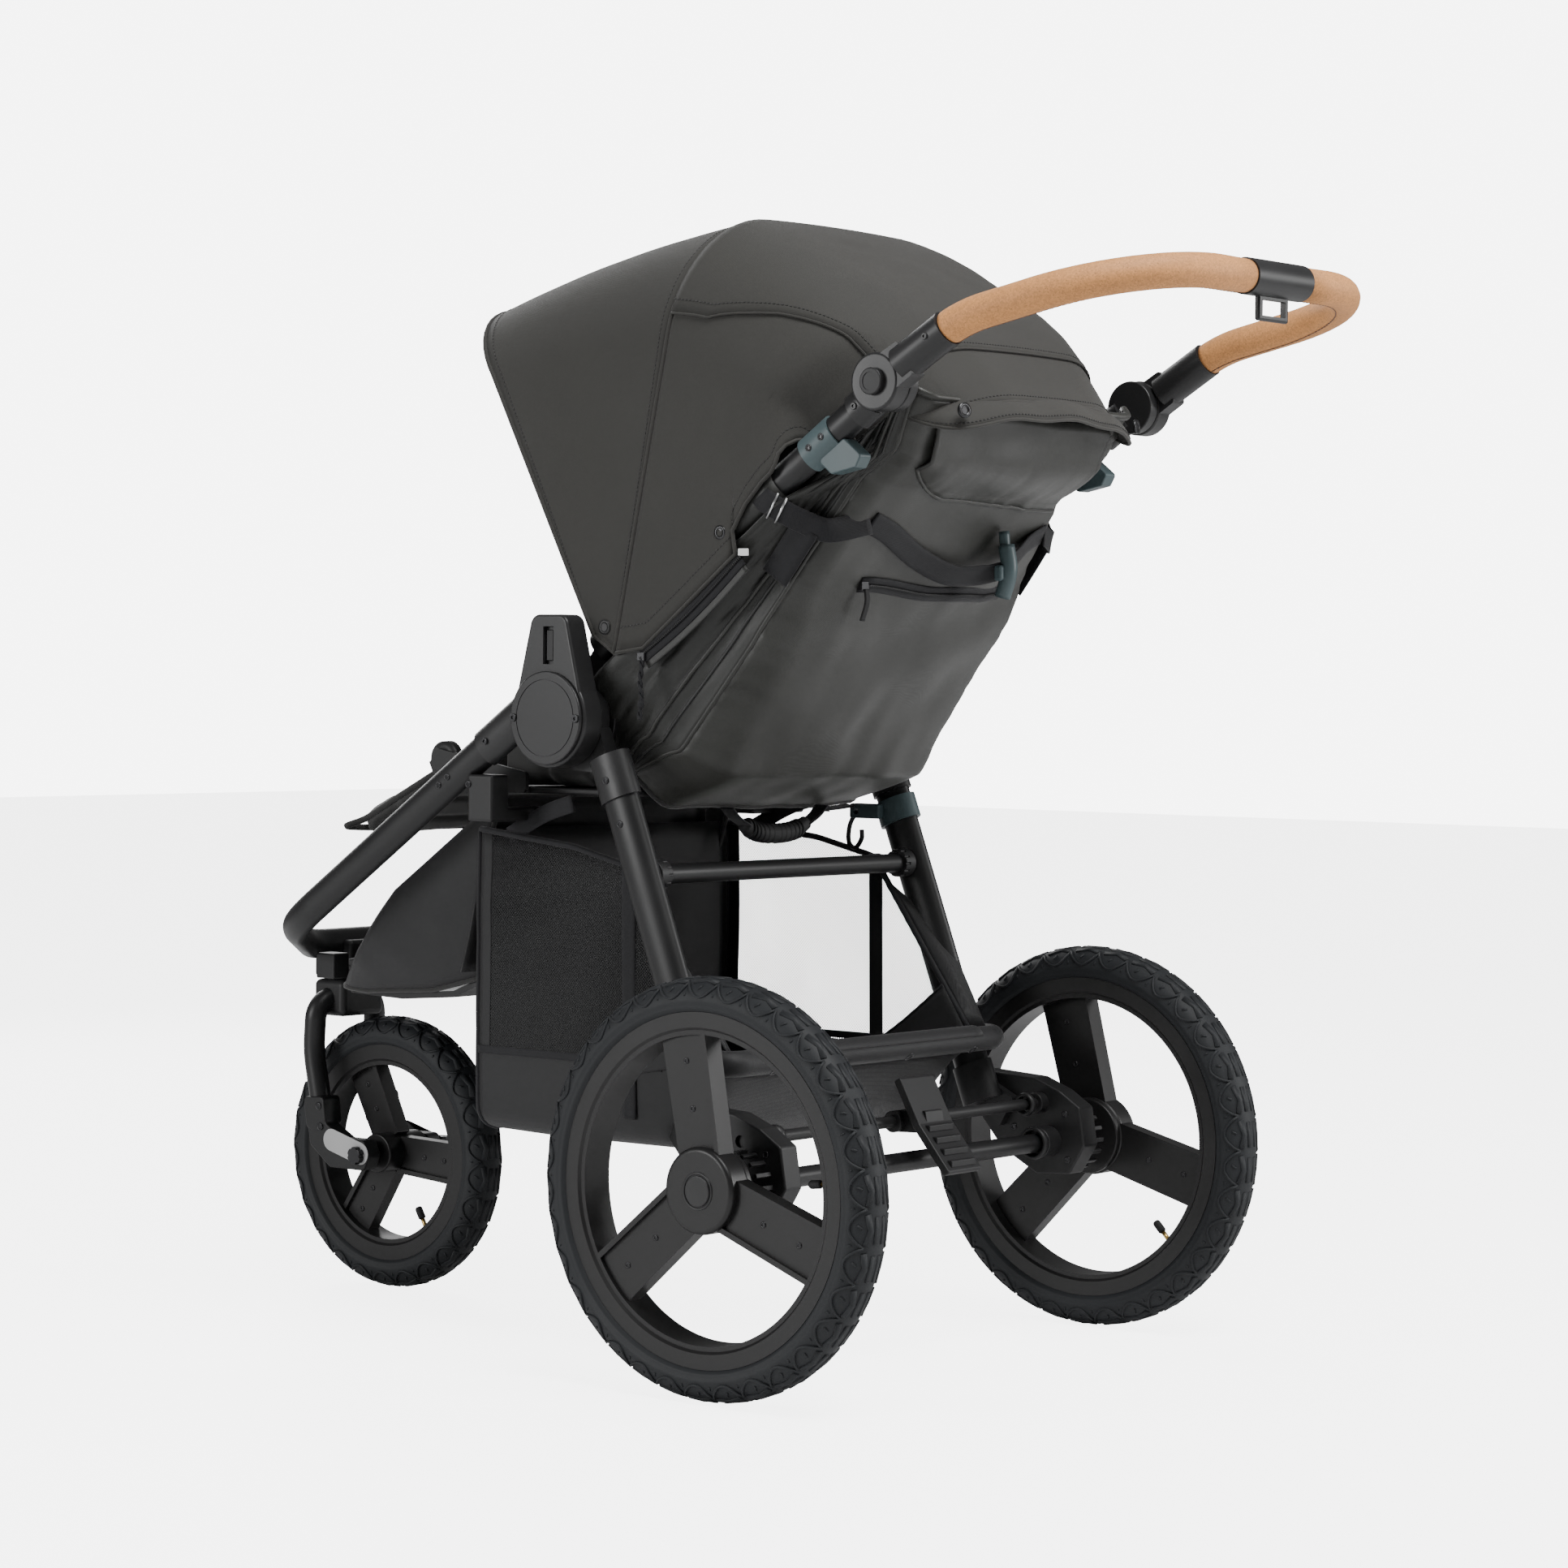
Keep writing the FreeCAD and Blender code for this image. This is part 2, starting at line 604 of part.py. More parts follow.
def on_back(run, offset):
    """Side-view point run along the seat back, offset towards the rider."""
    a = math.radians(BACK_ANGLE)
    return (BACK_FOOT[0] + run * math.cos(a) - offset * math.sin(a),
            BACK_FOOT[1] + run * math.sin(a) + offset * math.cos(a))


def seat_shell():
    """Outer back of the seat, turning forward under the rider."""
    low = (HUB_Y + 66, HUB_Z - 91)
    outline = [low, on_back(-2, 0), on_back(BACK_LONG, 0), on_back(BACK_LONG, 14),
               on_back(2, 12), (low[0] - 2, low[1] + 9)]
    return plate(outline, -SEAT_HALF, SEAT_HALF, 3.5)


def back_pad():
    outline = [on_back(28, 16), on_back(BACK_LONG - 12, 16), on_back(BACK_LONG - 12, 46),
               on_back(28, 46)]
    return plate(outline, -165, 165, 11.0, 8.0)


# ---- handlebar

def handle_points():
    knee = polar(PIVOT, ARM_RUN, ARM_ANGLE)
    back_y = LENGTH / 2 - GRIP_D / 2
    rise = (back_y - knee[0]) * math.tan(math.radians(BAR_ANGLE))
    side = [at(HANDLE_X, polar(PIVOT, 36, ARM_ANGLE)), at(HANDLE_X, knee),
            V(HANDLE_X - 6, back_y, knee[1] + rise)]
    return side + [V(-p.x, p.y, p.z) for p in reversed(side)]


def handle_bar(radius):
    points = handle_points()
    path = rounded(points, [ARM_RADIUS, HANDLE_RADIUS, HANDLE_RADIUS, ARM_RADIUS])
    return cylinder_bar(path, points[0], points[1] - points[0], radius)


def handle_tube():
    return handle_bar(HANDLE_D / 2).cut(handle_bar(HANDLE_D / 2 - TUBE_WALL))


def beyond_socket(extra=0.0):
    """Half space behind the end of the handle's sockets, as a large block."""
    a = math.radians(ARM_ANGLE)
    cut = block(-300, 300, SOCKET_END + extra, 600, -400, 400)
    cut.rotate(V(0, 0, 0), ACROSS, math.degrees(a))
    cut.translate(V(0, PIVOT[0], PIVOT[1]))
    return cut


def grip():
    """Cork sleeve from the socket round to the middle clasp, on the left side."""
    sleeve = handle_bar(GRIP_D / 2).common(beyond_socket(FIT))
    half = block(CLASP_HALF + FIT, 300, 0, 900, 700, 1300)
    return sleeve.common(half).cut(handle_bar(HANDLE_D / 2 + FIT))


def handle_socket():
    """Pivot disc and socket that hold one end of the handlebar."""
    body = disc(PIVOT_R, 210, 232, PIVOT, 3.0)
    start = at(HANDLE_X, polar(PIVOT, 30, ARM_ANGLE))
    end = at(HANDLE_X, polar(PIVOT, SOCKET_END, ARM_ANGLE))
    body = body.fuse(rod(start, end, GRIP_D / 2 + 1.5))
    neck = plate([polar(PIVOT, 22, ARM_ANGLE + 62), polar(PIVOT, 46, ARM_ANGLE + 24),
                  polar(PIVOT, 46, ARM_ANGLE - 24), polar(PIVOT, 22, ARM_ANGLE - 62)],
                 211, 231, 4.0)
    body = body.fuse(neck).cut(handle_bar(HANDLE_D / 2 + FIT))
    body = body.cut(disc(8 + RUN, 205, 229, PIVOT))
    body = body.cut(disc(BUTTON_R + RUN, 227, 240, PIVOT))
    face = HANDLE_X + GRIP_D / 2 + 1.2
    return body.fuse(screw(face, polar(PIVOT, SOCKET_END - 16, ARM_ANGLE), 3.2))


def handle_button():
    """Round tilt button in the pivot's outer face."""
    body = disc(BUTTON_R, 231, 238, PIVOT, 1.5)
    return body.cut(disc(BUTTON_R - 4, 237.2, 240, PIVOT))


def handle_clasp():
    """Two-shell clasp at the middle of the bar, with a loop below."""
    slab = block(-CLASP_HALF, CLASP_HALF, 0, 900, 700, 1300)
    body = handle_bar(GRIP_D / 2 + 1).common(slab)
    back_y = LENGTH / 2 - GRIP_D / 2
    z = handle_points()[2].z
    ring_out = block(-26, 26, back_y - 3, back_y + 3, z - 40, z - 10, 2.5)
    ring_in = block(-20, 20, back_y - 8, back_y + 8, z - 35, z - 20)
    body = body.fuse(ring_out.cut(ring_in))
    return body.cut(handle_bar(HANDLE_D / 2 + FIT))


# ---- canopy

def bow_outline(degrees, top, half, foot, radius):
    """Points of a hoop standing on the canopy pivot: arcs at the shoulders."""
    def place(x, r):
        return at(x, polar(CANOPY_PIVOT, r, degrees))
    turn = radius * (1 - math.sqrt(0.5))
    return [place(half, foot), place(half, top - radius), place(half - turn, top - turn),
            place(half - radius, top), place(radius - half, top),
            place(turn - half, top - turn), place(-half, top - radius), place(-half, foot)]


def hoop_edges(p):
    return [Part.LineSegment(p[0], p[1]).toShape(), Part.Arc(p[1], p[2], p[3]).toShape(),
            Part.LineSegment(p[3], p[4]).toShape(), Part.Arc(p[4], p[5], p[6]).toShape(),
            Part.LineSegment(p[6], p[7]).toShape()]


def hoop_band(degrees, top, half, foot, radius):
    """Closed outline of the cloth's section in one plane through the pivot."""
    outer = bow_outline(degrees, top, half, foot, radius)
    inner = bow_outline(degrees, top - CLOTH, half - CLOTH, foot, radius - CLOTH)[::-1]
    edges = hoop_edges(outer) + [Part.LineSegment(outer[-1], inner[0]).toShape()]
    edges += hoop_edges(inner) + [Part.LineSegment(inner[-1], outer[0]).toShape()]
    return Part.Wire(edges)


MID_TOP = 415.0
FRONT_TOP = 387.0


def canopy_panel(stations):
    return Part.makeLoft([hoop_band(*s) for s in stations], True, True)


def canopy_front_panel():
    return canopy_panel([(FRONT_BOW_ANGLE, FRONT_TOP, CANOPY_X, 18, 80),
                         (MID_BOW_ANGLE + 0.6, MID_TOP, CANOPY_X, 18, 110)])


def canopy_rear_panel():
    return canopy_panel([(MID_BOW_ANGLE - 0.6, MID_TOP, CANOPY_X, 32, 110),
                         (60.0, MID_TOP, CANOPY_X, 46, 110),
                         (46.0, 425, CANOPY_REAR_X, 130, 105),
                         (REAR_HEM_ANGLE, 440, CANOPY_REAR_X, 300, 105)])


def canopy_bow(degrees, top, radius, x0):
    """Thin hoop with an eye each side that turns on the rail's stud."""
    wire_r = 2.5
    half = CANOPY_X - CLOTH - wire_r - 1.6
    p = bow_outline(degrees, top, half, 13, radius)
    path = Part.Wire(hoop_edges(p))
    solid = cylinder_bar(path, p[0], p[1] - p[0], wire_r)
    eye = disc(9, x0, x0 + 2, CANOPY_PIVOT)
    tail = rod(at(half, polar(CANOPY_PIVOT, 5, degrees)),
               at(half, polar(CANOPY_PIVOT, 16, degrees)), 2.0)
    slab = block(x0, x0 + 2, -500, 500, 0, 1300)
    bore = disc(4 + RUN, x0 - 20, x0 + 20, CANOPY_PIVOT)
    end = eye.fuse(tail.common(slab).fuse(rod(at(half, polar(CANOPY_PIVOT, 11, degrees)),
                                              at(half, polar(CANOPY_PIVOT, 16, degrees)), 2.5)))
    end = end.cut(bore)
    return solid.fuse(end).fuse(mirrored(end))


# ---- leg rest

def leg_rest():
    reach = 190.0
    droop = 207.0
    tip = polar(LEGREST, reach, droop)
    root = polar(LEGREST, 16, droop)
    up = polar((0, 0), 13, droop - 90)
    outline = [(root[0] + up[0], root[1] + up[1]), (tip[0] + up[0], tip[1] + up[1]),
               (tip[0] - up[0], tip[1] - up[1]), (root[0] - up[0], root[1] - up[1])]
    pad = plate(outline, -165, 165, 9.0, 6.0)
    knuckle = disc(19, 150, 184, LEGREST, 2.0)
    knuckle = knuckle.cut(disc(LEGREST_PIN_R + RUN, 145, 190, LEGREST))
    knuckle = knuckle.cut(block(140, 167.5, -900, 0, 0, LEGREST[1] - 60))
    return pad.fuse(knuckle).fuse(mirrored(knuckle))


# ---- fork

def fork_leg_points(grow=0.0):
    return [V(18, SWIVEL_Y, CROWN_TOP - 20), V(FORK_LEG_X, SWIVEL_Y - 4, CROWN_TOP - 20),
            V(FORK_LEG_X, SWIVEL_Y - 8, 262), V(FORK_LEG_X, SWIVEL_Y + 6, 200 - grow)]


def fork_leg(radius=FORK_LEG_R, grow=0.0):
    points = fork_leg_points(grow)
    path = rounded(points, [25, 120])
    return cylinder_bar(path, points[0], points[1] - points[0], radius)


def fork_crown():
    body = block(-33, 33, SWIVEL_Y - 24, SWIVEL_Y + 24, CROWN_BOTTOM, CROWN_TOP, 7.0)
    stem = rod(V(0, SWIVEL_Y, CROWN_TOP - 6), V(0, SWIVEL_Y, CROWN_TOP + 22), STEM_R)
    room = fork_leg(FORK_LEG_R + FIT)
    return body.fuse(stem).cut(room).cut(mirrored(room))


def fork_dropout():
    """Bracket from the fork leg's end to the front axle."""
    top = SWIVEL_Y + 6
    ay, az = FRONT_AXLE
    outline = [(top - 17, 212), (top + 15, 214), (top + 19, 184), (ay - 24, az + 17),
               (ay + 8, az + 17), (ay + 16, az), (ay + 8, az - 17), (ay - 46, az - 17),
               (top - 6, az + 6)]
    upper = [(top - 17, 212), (top + 15, 214), (top + 19, 184), (top + 4, 172), (top - 12, 178)]
    body = plate(outline, 40, 60, 7.0, 2.0)
    body = body.fuse(plate(upper, 33.5, 60.5, 6.0, 2.0))
    body = body.cut(fork_leg(FORK_LEG_R + FIT))
    return body.cut(disc(AXLE_R + FIT, 30, 70, FRONT_AXLE))


LEVER_X = -72.0
LEVER_PIN_R = 4.0
LEVER_HALF = 11.0


def front_axle():
    """Through axle with a knurled knob at the left and the lever's pivot at the right."""
    body = disc(AXLE_R, LEVER_X + 1, 62, FRONT_AXLE)
    knob = disc(10, 60.6, 68, FRONT_AXLE, 1.0)
    for k in range(6):
        knob = knob.cut(disc(2.4, 60, 70, polar(FRONT_AXLE, 10.5, 60 * k)))
    ay, az = FRONT_AXLE
    pin = rod(V(LEVER_X, ay, az - LEVER_HALF), V(LEVER_X, ay, az + LEVER_HALF), LEVER_PIN_R)
    return body.fuse(knob).fuse(pin)


def quick_release():
    """Cam lever that clamps the front axle; it turns about an upright pin."""
    ay, az = FRONT_AXLE
    cam = rod(V(LEVER_X, ay, az - LEVER_HALF), V(LEVER_X, ay, az + LEVER_HALF), 10)
    arm = block(LEVER_X - 5, LEVER_X + 3, ay, ay + 58, az - 7, az + 7, 2.5)
    body = cam.fuse(arm)
    body = body.cut(rod(V(LEVER_X, ay, az - 20), V(LEVER_X, ay, az + 20), LEVER_PIN_R + RUN))
    clear = AXLE_R + GAP
    slot = block(LEVER_X - clear, LEVER_X + 20, ay - 20, ay + clear, az - clear, az + clear)
    return body.cut(slot)


# ---- wheels

def turned(profile, x, centre, arcs=()):
    """Revolve a profile of (across, radius) points about the wheel's axis."""
    def place(p):
        return V(x + p[0], centre[0], centre[1] + p[1])
    edges = []
    count = len(profile)
    i = 0
    while i < count:
        a = place(profile[i])
        if i in arcs:
            b = place(profile[(i + 1) % count])
            c = place(profile[(i + 2) % count])
            edges.append(Part.Arc(a, b, c).toShape())
            i += 2
        else:
            b = place(profile[(i + 1) % count])
            edges.append(Part.LineSegment(a, b).toShape())
            i += 1
    face = Part.Face(Part.Wire(edges))
    return face.revolve(at(x, centre), ACROSS, 360)


def tyre(x, centre, radius, bead, width):
    w = width / 2
    high = radius - bead
    profile = [(w - 8, bead), (w, bead + high * 0.5), (w - 7.5, radius - high * 0.14),
               (0, radius), (7.5 - w, radius - high * 0.14), (-w, bead + high * 0.5),
               (8 - w, bead)]
    body = turned(profile, x, centre, (0, 2, 4))
    flange = w - RIM_INSET - FLANGE_THICK - FIT
    for side in (-1, 1):
        body = body.cut(disc(bead + FLANGE_HIGH + FIT, x + side * flange, x + side * w, centre))
    return body


def rim_ring(x, centre, bead, opening, width):
    w = width / 2 - RIM_INSET
    lip = bead + FLANGE_HIGH
    seat = w - FLANGE_THICK
    profile = [(seat, bead - FIT), (seat, lip), (w, lip), (w, opening + 7),
               (w - 2.5, opening + 4.5), (w - 2.5, opening), (2.5 - w, opening),
               (2.5 - w, opening + 4.5), (-w, opening + 7), (-w, lip), (-seat, lip),
               (-seat, bead - FIT)]
    return turned(profile, x, centre)


def spoke(x0, x1, centre, reach, root, inner_half, outer_half, lip):
    """One flat spoke pointing along +Y, with a raised lip on its trailing edge."""
    y, z = centre
    outline = [(y + root, z - inner_half), (y + reach, z - outer_half),
               (y + reach, z + outer_half), (y + root, z + inner_half)]
    body = plate(outline, x0, x1, 1.5)
    ridge = plate([(y + root, z - inner_half - 3), (y + reach, z - outer_half - 3),
                   (y + reach, z - outer_half + 2.5), (y + root, z - inner_half + 2.5)],
                  x0, x1 + lip, 1.5)
    return body.fuse(ridge)


def spoked(ring, one, centre, first):
    body = ring
    for k in range(SPOKE_COUNT):
        arm = one.copy()
        arm.rotate(at(0, centre), ACROSS, first + 360.0 / SPOKE_COUNT * k)
        body = body.fuse(arm)
    return body


def rear_rim(first):
    x = TRACK / 2
    face = x + REAR_TYRE_W / 2
    ring = rim_ring(x, REAR_AXLE, REAR_BEAD_R, REAR_OPENING_R, REAR_TYRE_W)
    one = spoke(x - 4, x + 14, REAR_AXLE, REAR_OPENING_R + 3, 30, 25, 27, 4)
    body = spoked(ring, one, REAR_AXLE, first)
    drum = disc(30, HOUSING_OUT + 4, x, REAR_AXLE, 2.0)
    flange = disc(40, x - 12, x - 4, REAR_AXLE, 2.0)
    dome = disc(42, x - 6, face - 2, REAR_AXLE, 5.0)
    body = body.fuse(drum).fuse(flange).fuse(dome)
    body = body.cut(disc(15 + RUN, face - 9, face + 5, REAR_AXLE))
    return body.cut(disc(AXLE_R + RUN, 250, face, REAR_AXLE))


def rear_button():
    """Release button in the middle of the wheel."""
    face = TRACK / 2 + REAR_TYRE_W / 2
    body = disc(15, face - 4, face - 0.5, REAR_AXLE, 1.2)
    return body


def front_rim():
    ring = rim_ring(0, FRONT_AXLE, FRONT_BEAD_R, FRONT_OPENING_R, FRONT_TYRE_W)
    one = spoke(-8, 8, FRONT_AXLE, FRONT_OPENING_R + 3, 14, 19, 21, 4)
    body = spoked(ring, one, FRONT_AXLE, -3)
    hub = disc(22, -32, 32, FRONT_AXLE, 2.0)
    return body.fuse(hub).cut(disc(AXLE_R + RUN, -40, 40, FRONT_AXLE))


# ---- assembly

def build():
    """Every node's shape by name."""
    left_right = {
        "hub_housing": hub_housing(), "rear_leg": leg_bar(LEG_TOP, LEG_BOTTOM, 0, TUBE_WALL),
        "axle_housing": axle_housing(), "rail": rail(), "rail_head": rail_head(),
        "trigger": trigger(), "grip": grip(), "handle_socket": handle_socket(),
        "handle_button": handle_button(), "fork_leg": fork_leg(),
        "wheel_button": rear_button(),
        "rear_tyre": tyre(TRACK / 2, REAR_AXLE, REAR_R, REAR_BEAD_R, REAR_TYRE_W),
    }
    nodes = {
        "front_frame_tube": front_tube(),
        "hub_covers": both(hub_cover()),
        "hub_screws": hub_screws(),
        "head_bracket": head_bracket(),
        "footrest_tray": footrest_tray(),
        "seat_brackets": both(seat_bracket()),
        "seat_board": seat_board(),
        "seat_pad": seat_pad(),
        "footwell_skirt": footwell_skirt(),
        "carry_handle": carry_handle(),
        "leg_collars": both(leg_collar()),
        "cross_tube": cross_tube(),
        "cross_tube_caps": both(cross_tube_cap()),
        "axle_tube": axle_tube(),
        "leg_clip": leg_clip(),
        "basket_bar": basket_bar(),
        "basket": basket(),
        "brake_pedal": brake_pedal(),
        "seat_sides": both(seat_side()),
        "seat_shell": seat_shell(),
        "back_pad": back_pad(),
        "handle_tube": handle_tube(),
        "handle_clasp": handle_clasp(),
        "canopy_front_panel": canopy_front_panel(),
        "canopy_rear_panel": canopy_rear_panel(),
        "canopy_front_bow": canopy_bow(FRONT_BOW_ANGLE - 1.2, FRONT_TOP - 12, 72, 219.3),
        "canopy_mid_bow": canopy_bow(MID_BOW_ANGLE, MID_TOP - 8, 103, 221.6),
        "leg_rest": leg_rest(),
        "fork_crown": fork_crown(),
        "fork_dropouts": both(fork_dropout()),
        "front_axle": front_axle(),
        "quick_release": quick_release(),
        "rear_rim_left": rear_rim(LEFT_SPOKE),
        "rear_rim_right": mirrored(rear_rim(RIGHT_SPOKE)),
        "front_rim": front_rim(),
        "front_tyre": tyre(0, FRONT_AXLE, FRONT_R, FRONT_BEAD_R, FRONT_TYRE_W),
    }
    for name, shape in left_right.items():
        nodes[name + "_left"] = shape
        nodes[name + "_right"] = mirrored(shape)
    return nodes


def export():
    os.makedirs("parts", exist_ok=True)
    for name, shape in build().items():
        shape.exportStep("parts/%s.step" % name)


export()
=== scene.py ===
"""Looks of a three-wheel all-terrain baby stroller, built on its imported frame."""
import logging
import math
from dataclasses import dataclass
from enum import Enum
from typing import Callable, Sequence

import bmesh
import bpy
from mathutils import Matrix, Vector, noise


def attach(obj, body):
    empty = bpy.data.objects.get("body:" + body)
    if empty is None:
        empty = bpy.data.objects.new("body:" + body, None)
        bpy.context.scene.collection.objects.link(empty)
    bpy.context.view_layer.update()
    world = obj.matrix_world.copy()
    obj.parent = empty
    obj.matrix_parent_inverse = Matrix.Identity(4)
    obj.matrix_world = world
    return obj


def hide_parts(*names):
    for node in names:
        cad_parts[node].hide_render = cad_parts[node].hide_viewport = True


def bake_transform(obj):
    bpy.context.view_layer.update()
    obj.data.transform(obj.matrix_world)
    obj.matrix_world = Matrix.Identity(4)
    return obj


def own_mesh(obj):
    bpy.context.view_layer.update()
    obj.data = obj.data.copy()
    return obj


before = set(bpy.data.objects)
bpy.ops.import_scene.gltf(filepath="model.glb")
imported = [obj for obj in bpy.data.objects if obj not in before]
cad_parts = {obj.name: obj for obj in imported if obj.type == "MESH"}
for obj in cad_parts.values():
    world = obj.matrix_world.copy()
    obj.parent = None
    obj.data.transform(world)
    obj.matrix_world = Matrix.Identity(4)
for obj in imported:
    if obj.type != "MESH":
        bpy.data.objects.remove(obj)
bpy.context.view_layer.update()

log = logging.getLogger("stroller")
Point = tuple[float, float, float]
Side = tuple[float, float]
Colour = tuple[float, float, float]

# ---------------------------------------------------------------- frame lines, metres

HUB: Side = (-0.045, 0.647)
SLOPE = math.radians(34.7)
REAR_AXLE: Side = (0.228, 0.203)
FRONT_AXLE: Side = (-0.503, 0.1525)
CANOPY_PIVOT: Side = (0.012166, 0.740102)
HANDLE_PIVOT: Side = (0.345134, 0.97066)
LEG_LEAN = math.radians(21.1)
TRACK = 0.632
RAIL_OFFSET = 0.044
SIDES = ((1, "left"), (-1, "right"))
CLOTH_FRAMES = 20


def along(s: float, offset: float) -> Side:
    """Side-view point s along the frame line from the hub, offset square to it."""
    return (HUB[0] + s * math.cos(SLOPE) - offset * math.sin(SLOPE),
            HUB[1] + s * math.sin(SLOPE) + offset * math.cos(SLOPE))


def on_leg(t: float) -> Side:
    """Side-view point t down the rear leg's line."""
    return HUB[0] + 0.039 + t * math.sin(LEG_LEAN), HUB[1] - t * math.cos(LEG_LEAN)


def polar(centre: Side, radius: float, degrees: float) -> Side:
    """Side-view point at an angle from +Y towards +Z."""
    a = math.radians(degrees)
    return centre[0] + radius * math.cos(a), centre[1] + radius * math.sin(a)


def lerp(a: float, b: float, t: float) -> float:
    """Value a share t of the way from a to b."""
    return a + (b - a) * t


def ease(t: float) -> float:
    """Smooth step from 0 to 1."""
    t = min(max(t, 0.0), 1.0)
    return t * t * (3 - 2 * t)


def read(table: Sequence[Sequence[float]], t: float, column: int = 1) -> float:
    """Piecewise value of a table whose first column rises.

    Args:
        table: rows of (position, value, ...).
        t: position to read at.
        column: which value to read.

    Returns:
        The value, smoothly eased between rows.
    """
    if t <= table[0][0]:
        return table[0][column]
    for low, high in zip(table, table[1:]):
        if t <= high[0]:
            share = (t - low[0]) / (high[0] - low[0])
            return lerp(low[column], high[column], share)
    return table[-1][column]


def spline(points: Sequence[Point], steps: int = 8, closed: bool = False) -> list[Vector]:
    """Smooth line through points.

    Args:
        points: where the line goes through.
        steps: pieces between two points.
        closed: whether the end joins the start.

    Returns:
        Points along a Catmull-Rom line.
    """
    p = [Vector(q) for q in points]
    count = len(p)
    out: list[Vector] = []
    spans = count if closed else count - 1
    for i in range(spans):
        a = p[(i - 1) % count] if closed or i else p[0] * 2 - p[1]
        b, c = p[i], p[(i + 1) % count]
        last = p[-1] * 2 - p[-2]
        d = p[(i + 2) % count] if closed or i + 2 < count else last
        for k in range(steps):
            t = k / steps
            out.append(0.5 * ((2 * b) + (c - a) * t + (2 * a - 5 * b + 4 * c - d) * t * t
                              + (3 * b - a - 3 * c + d) * t ** 3))
    if not closed:
        out.append(p[-1])
    return out


# ---------------------------------------------------------------- mesh tools

def new_piece(name: str, verts: Sequence, faces: Sequence, edges: Sequence = ()) -> bpy.types.Object:
    """Object with its mesh at the origin, smooth shaded.

    Args:
        name: piece's name.
        verts: its points.
        faces: corners of each face.
        edges: ends of each loose edge.

    Returns:
        The new piece.
    """
    mesh = bpy.data.meshes.new(name)
    mesh.from_pydata([tuple(v) for v in verts], list(edges), list(faces))
    mesh.update()
    for polygon in mesh.polygons:
        polygon.use_smooth = True
    piece = bpy.data.objects.new(name, mesh)
    bpy.context.scene.collection.objects.link(piece)
    return piece


def grid(name: str, rows: Sequence[Sequence], wrap: bool = False, loop: bool = False,
         caps: bool = False) -> bpy.types.Object:
    """Quad sheet through rows of points.

    Args:
        name: piece's name.
        rows: equal rows of points.
        wrap: whether each row closes on itself.
        loop: whether the last row joins the first.
        caps: whether the first and last rows are filled.

    Returns:
        The new piece.
    """
    wide, high = len(rows[0]), len(rows)
    verts = [p for row in rows for p in row]
    faces = []
    for j in range(high if loop else high - 1):
        k = (j + 1) % high
        for i in range(wide if wrap else wide - 1):
            n = (i + 1) % wide
            faces.append((j * wide + i, j * wide + n, k * wide + n, k * wide + i))
    if caps:
        faces.append(tuple(reversed(range(wide))))
        faces.append(tuple(range((high - 1) * wide, high * wide)))
    return new_piece(name, verts, faces)


def outward(piece: bpy.types.Object) -> bpy.types.Object:
    """Merge doubles and turn every face of a closed piece outwards.

    Args:
        piece: closed mesh.

    Returns:
        The same piece.
    """
    work = bmesh.new()
    work.from_mesh(piece.data)
    bmesh.ops.remove_doubles(work, verts=work.verts, dist=1e-6)
    bmesh.ops.recalc_face_normals(work, faces=work.faces)
    work.to_mesh(piece.data)
    work.free()
    return piece


def settle(piece: bpy.types.Object) -> bpy.types.Object:
    """Turn a piece and its modifiers into a plain mesh.

    Args:
        piece: piece with modifiers.

    Returns:
        The same piece, without modifiers.
    """
    bpy.context.view_layer.update()
    graph = bpy.context.evaluated_depsgraph_get()
    mesh = bpy.data.meshes.new_from_object(piece.evaluated_get(graph))
    piece.modifiers.clear()
    old, piece.data = piece.data, mesh
    mesh.name = piece.name
    bpy.data.meshes.remove(old)
    return piece


def thicken(piece: bpy.types.Object, thickness: float) -> bpy.types.Object:
    """Give a sheet a wall, half on each side.

    Args:
        piece: open sheet.
        thickness: the wall's thickness.

    Returns:
        The same piece.
    """
    wall = piece.modifiers.new("wall", "SOLIDIFY")
    wall.thickness = thickness
    wall.offset = 0.0
    return settle(piece)


def rounded(piece: bpy.types.Object, levels: int = 1) -> bpy.types.Object:
    """Subdivide a piece smoothly.

    Args:
        piece: piece to subdivide.
        levels: how many times.

    Returns:
        The same piece.
    """
    rounder = piece.modifiers.new("rounder", "SUBSURF")
    rounder.levels = rounder.render_levels = levels
    return settle(piece)


def bevelled(piece: bpy.types.Object, width: float, segments: int = 2) -> bpy.types.Object:
    """Round a piece's sharp edges.

    Args:
        piece: piece with sharp edges.
        width: width of the rounding.
        segments: faces across it.

    Returns:
        The same piece.
    """
    edge = piece.modifiers.new("edge", "BEVEL")
    edge.width = width
    edge.segments = segments
    edge.limit_method = "ANGLE"
    edge.angle_limit = math.radians(35)
    edge.harden_normals = True
    return settle(piece)


def join(name: str, pieces: Sequence[bpy.types.Object]) -> bpy.types.Object:
    """One piece made of several meshes that keep their finishes.

    Args:
        name: name of the joined piece.
        pieces: meshes to join; they are removed.

    Returns:
        The new piece.
    """
    work = bmesh.new()
    mesh = bpy.data.meshes.new(name)
    slots: list[bpy.types.Material] = []
    for piece in pieces:
        first = len(work.faces)
        work.from_mesh(piece.data)
        work.faces.ensure_lookup_table()
        places = []
        for material in piece.data.materials:
            if material not in slots:
                slots.append(material)
            places.append(slots.index(material))
        for face in work.faces[first:]:
            if places:
                face.material_index = places[min(face.material_index, len(places) - 1)]
    work.to_mesh(mesh)
    work.free()
    for material in slots:
        mesh.materials.append(material)
    for piece in pieces:
        bpy.data.objects.remove(piece)
    out = bpy.data.objects.new(name, mesh)
    bpy.context.scene.collection.objects.link(out)
    return out


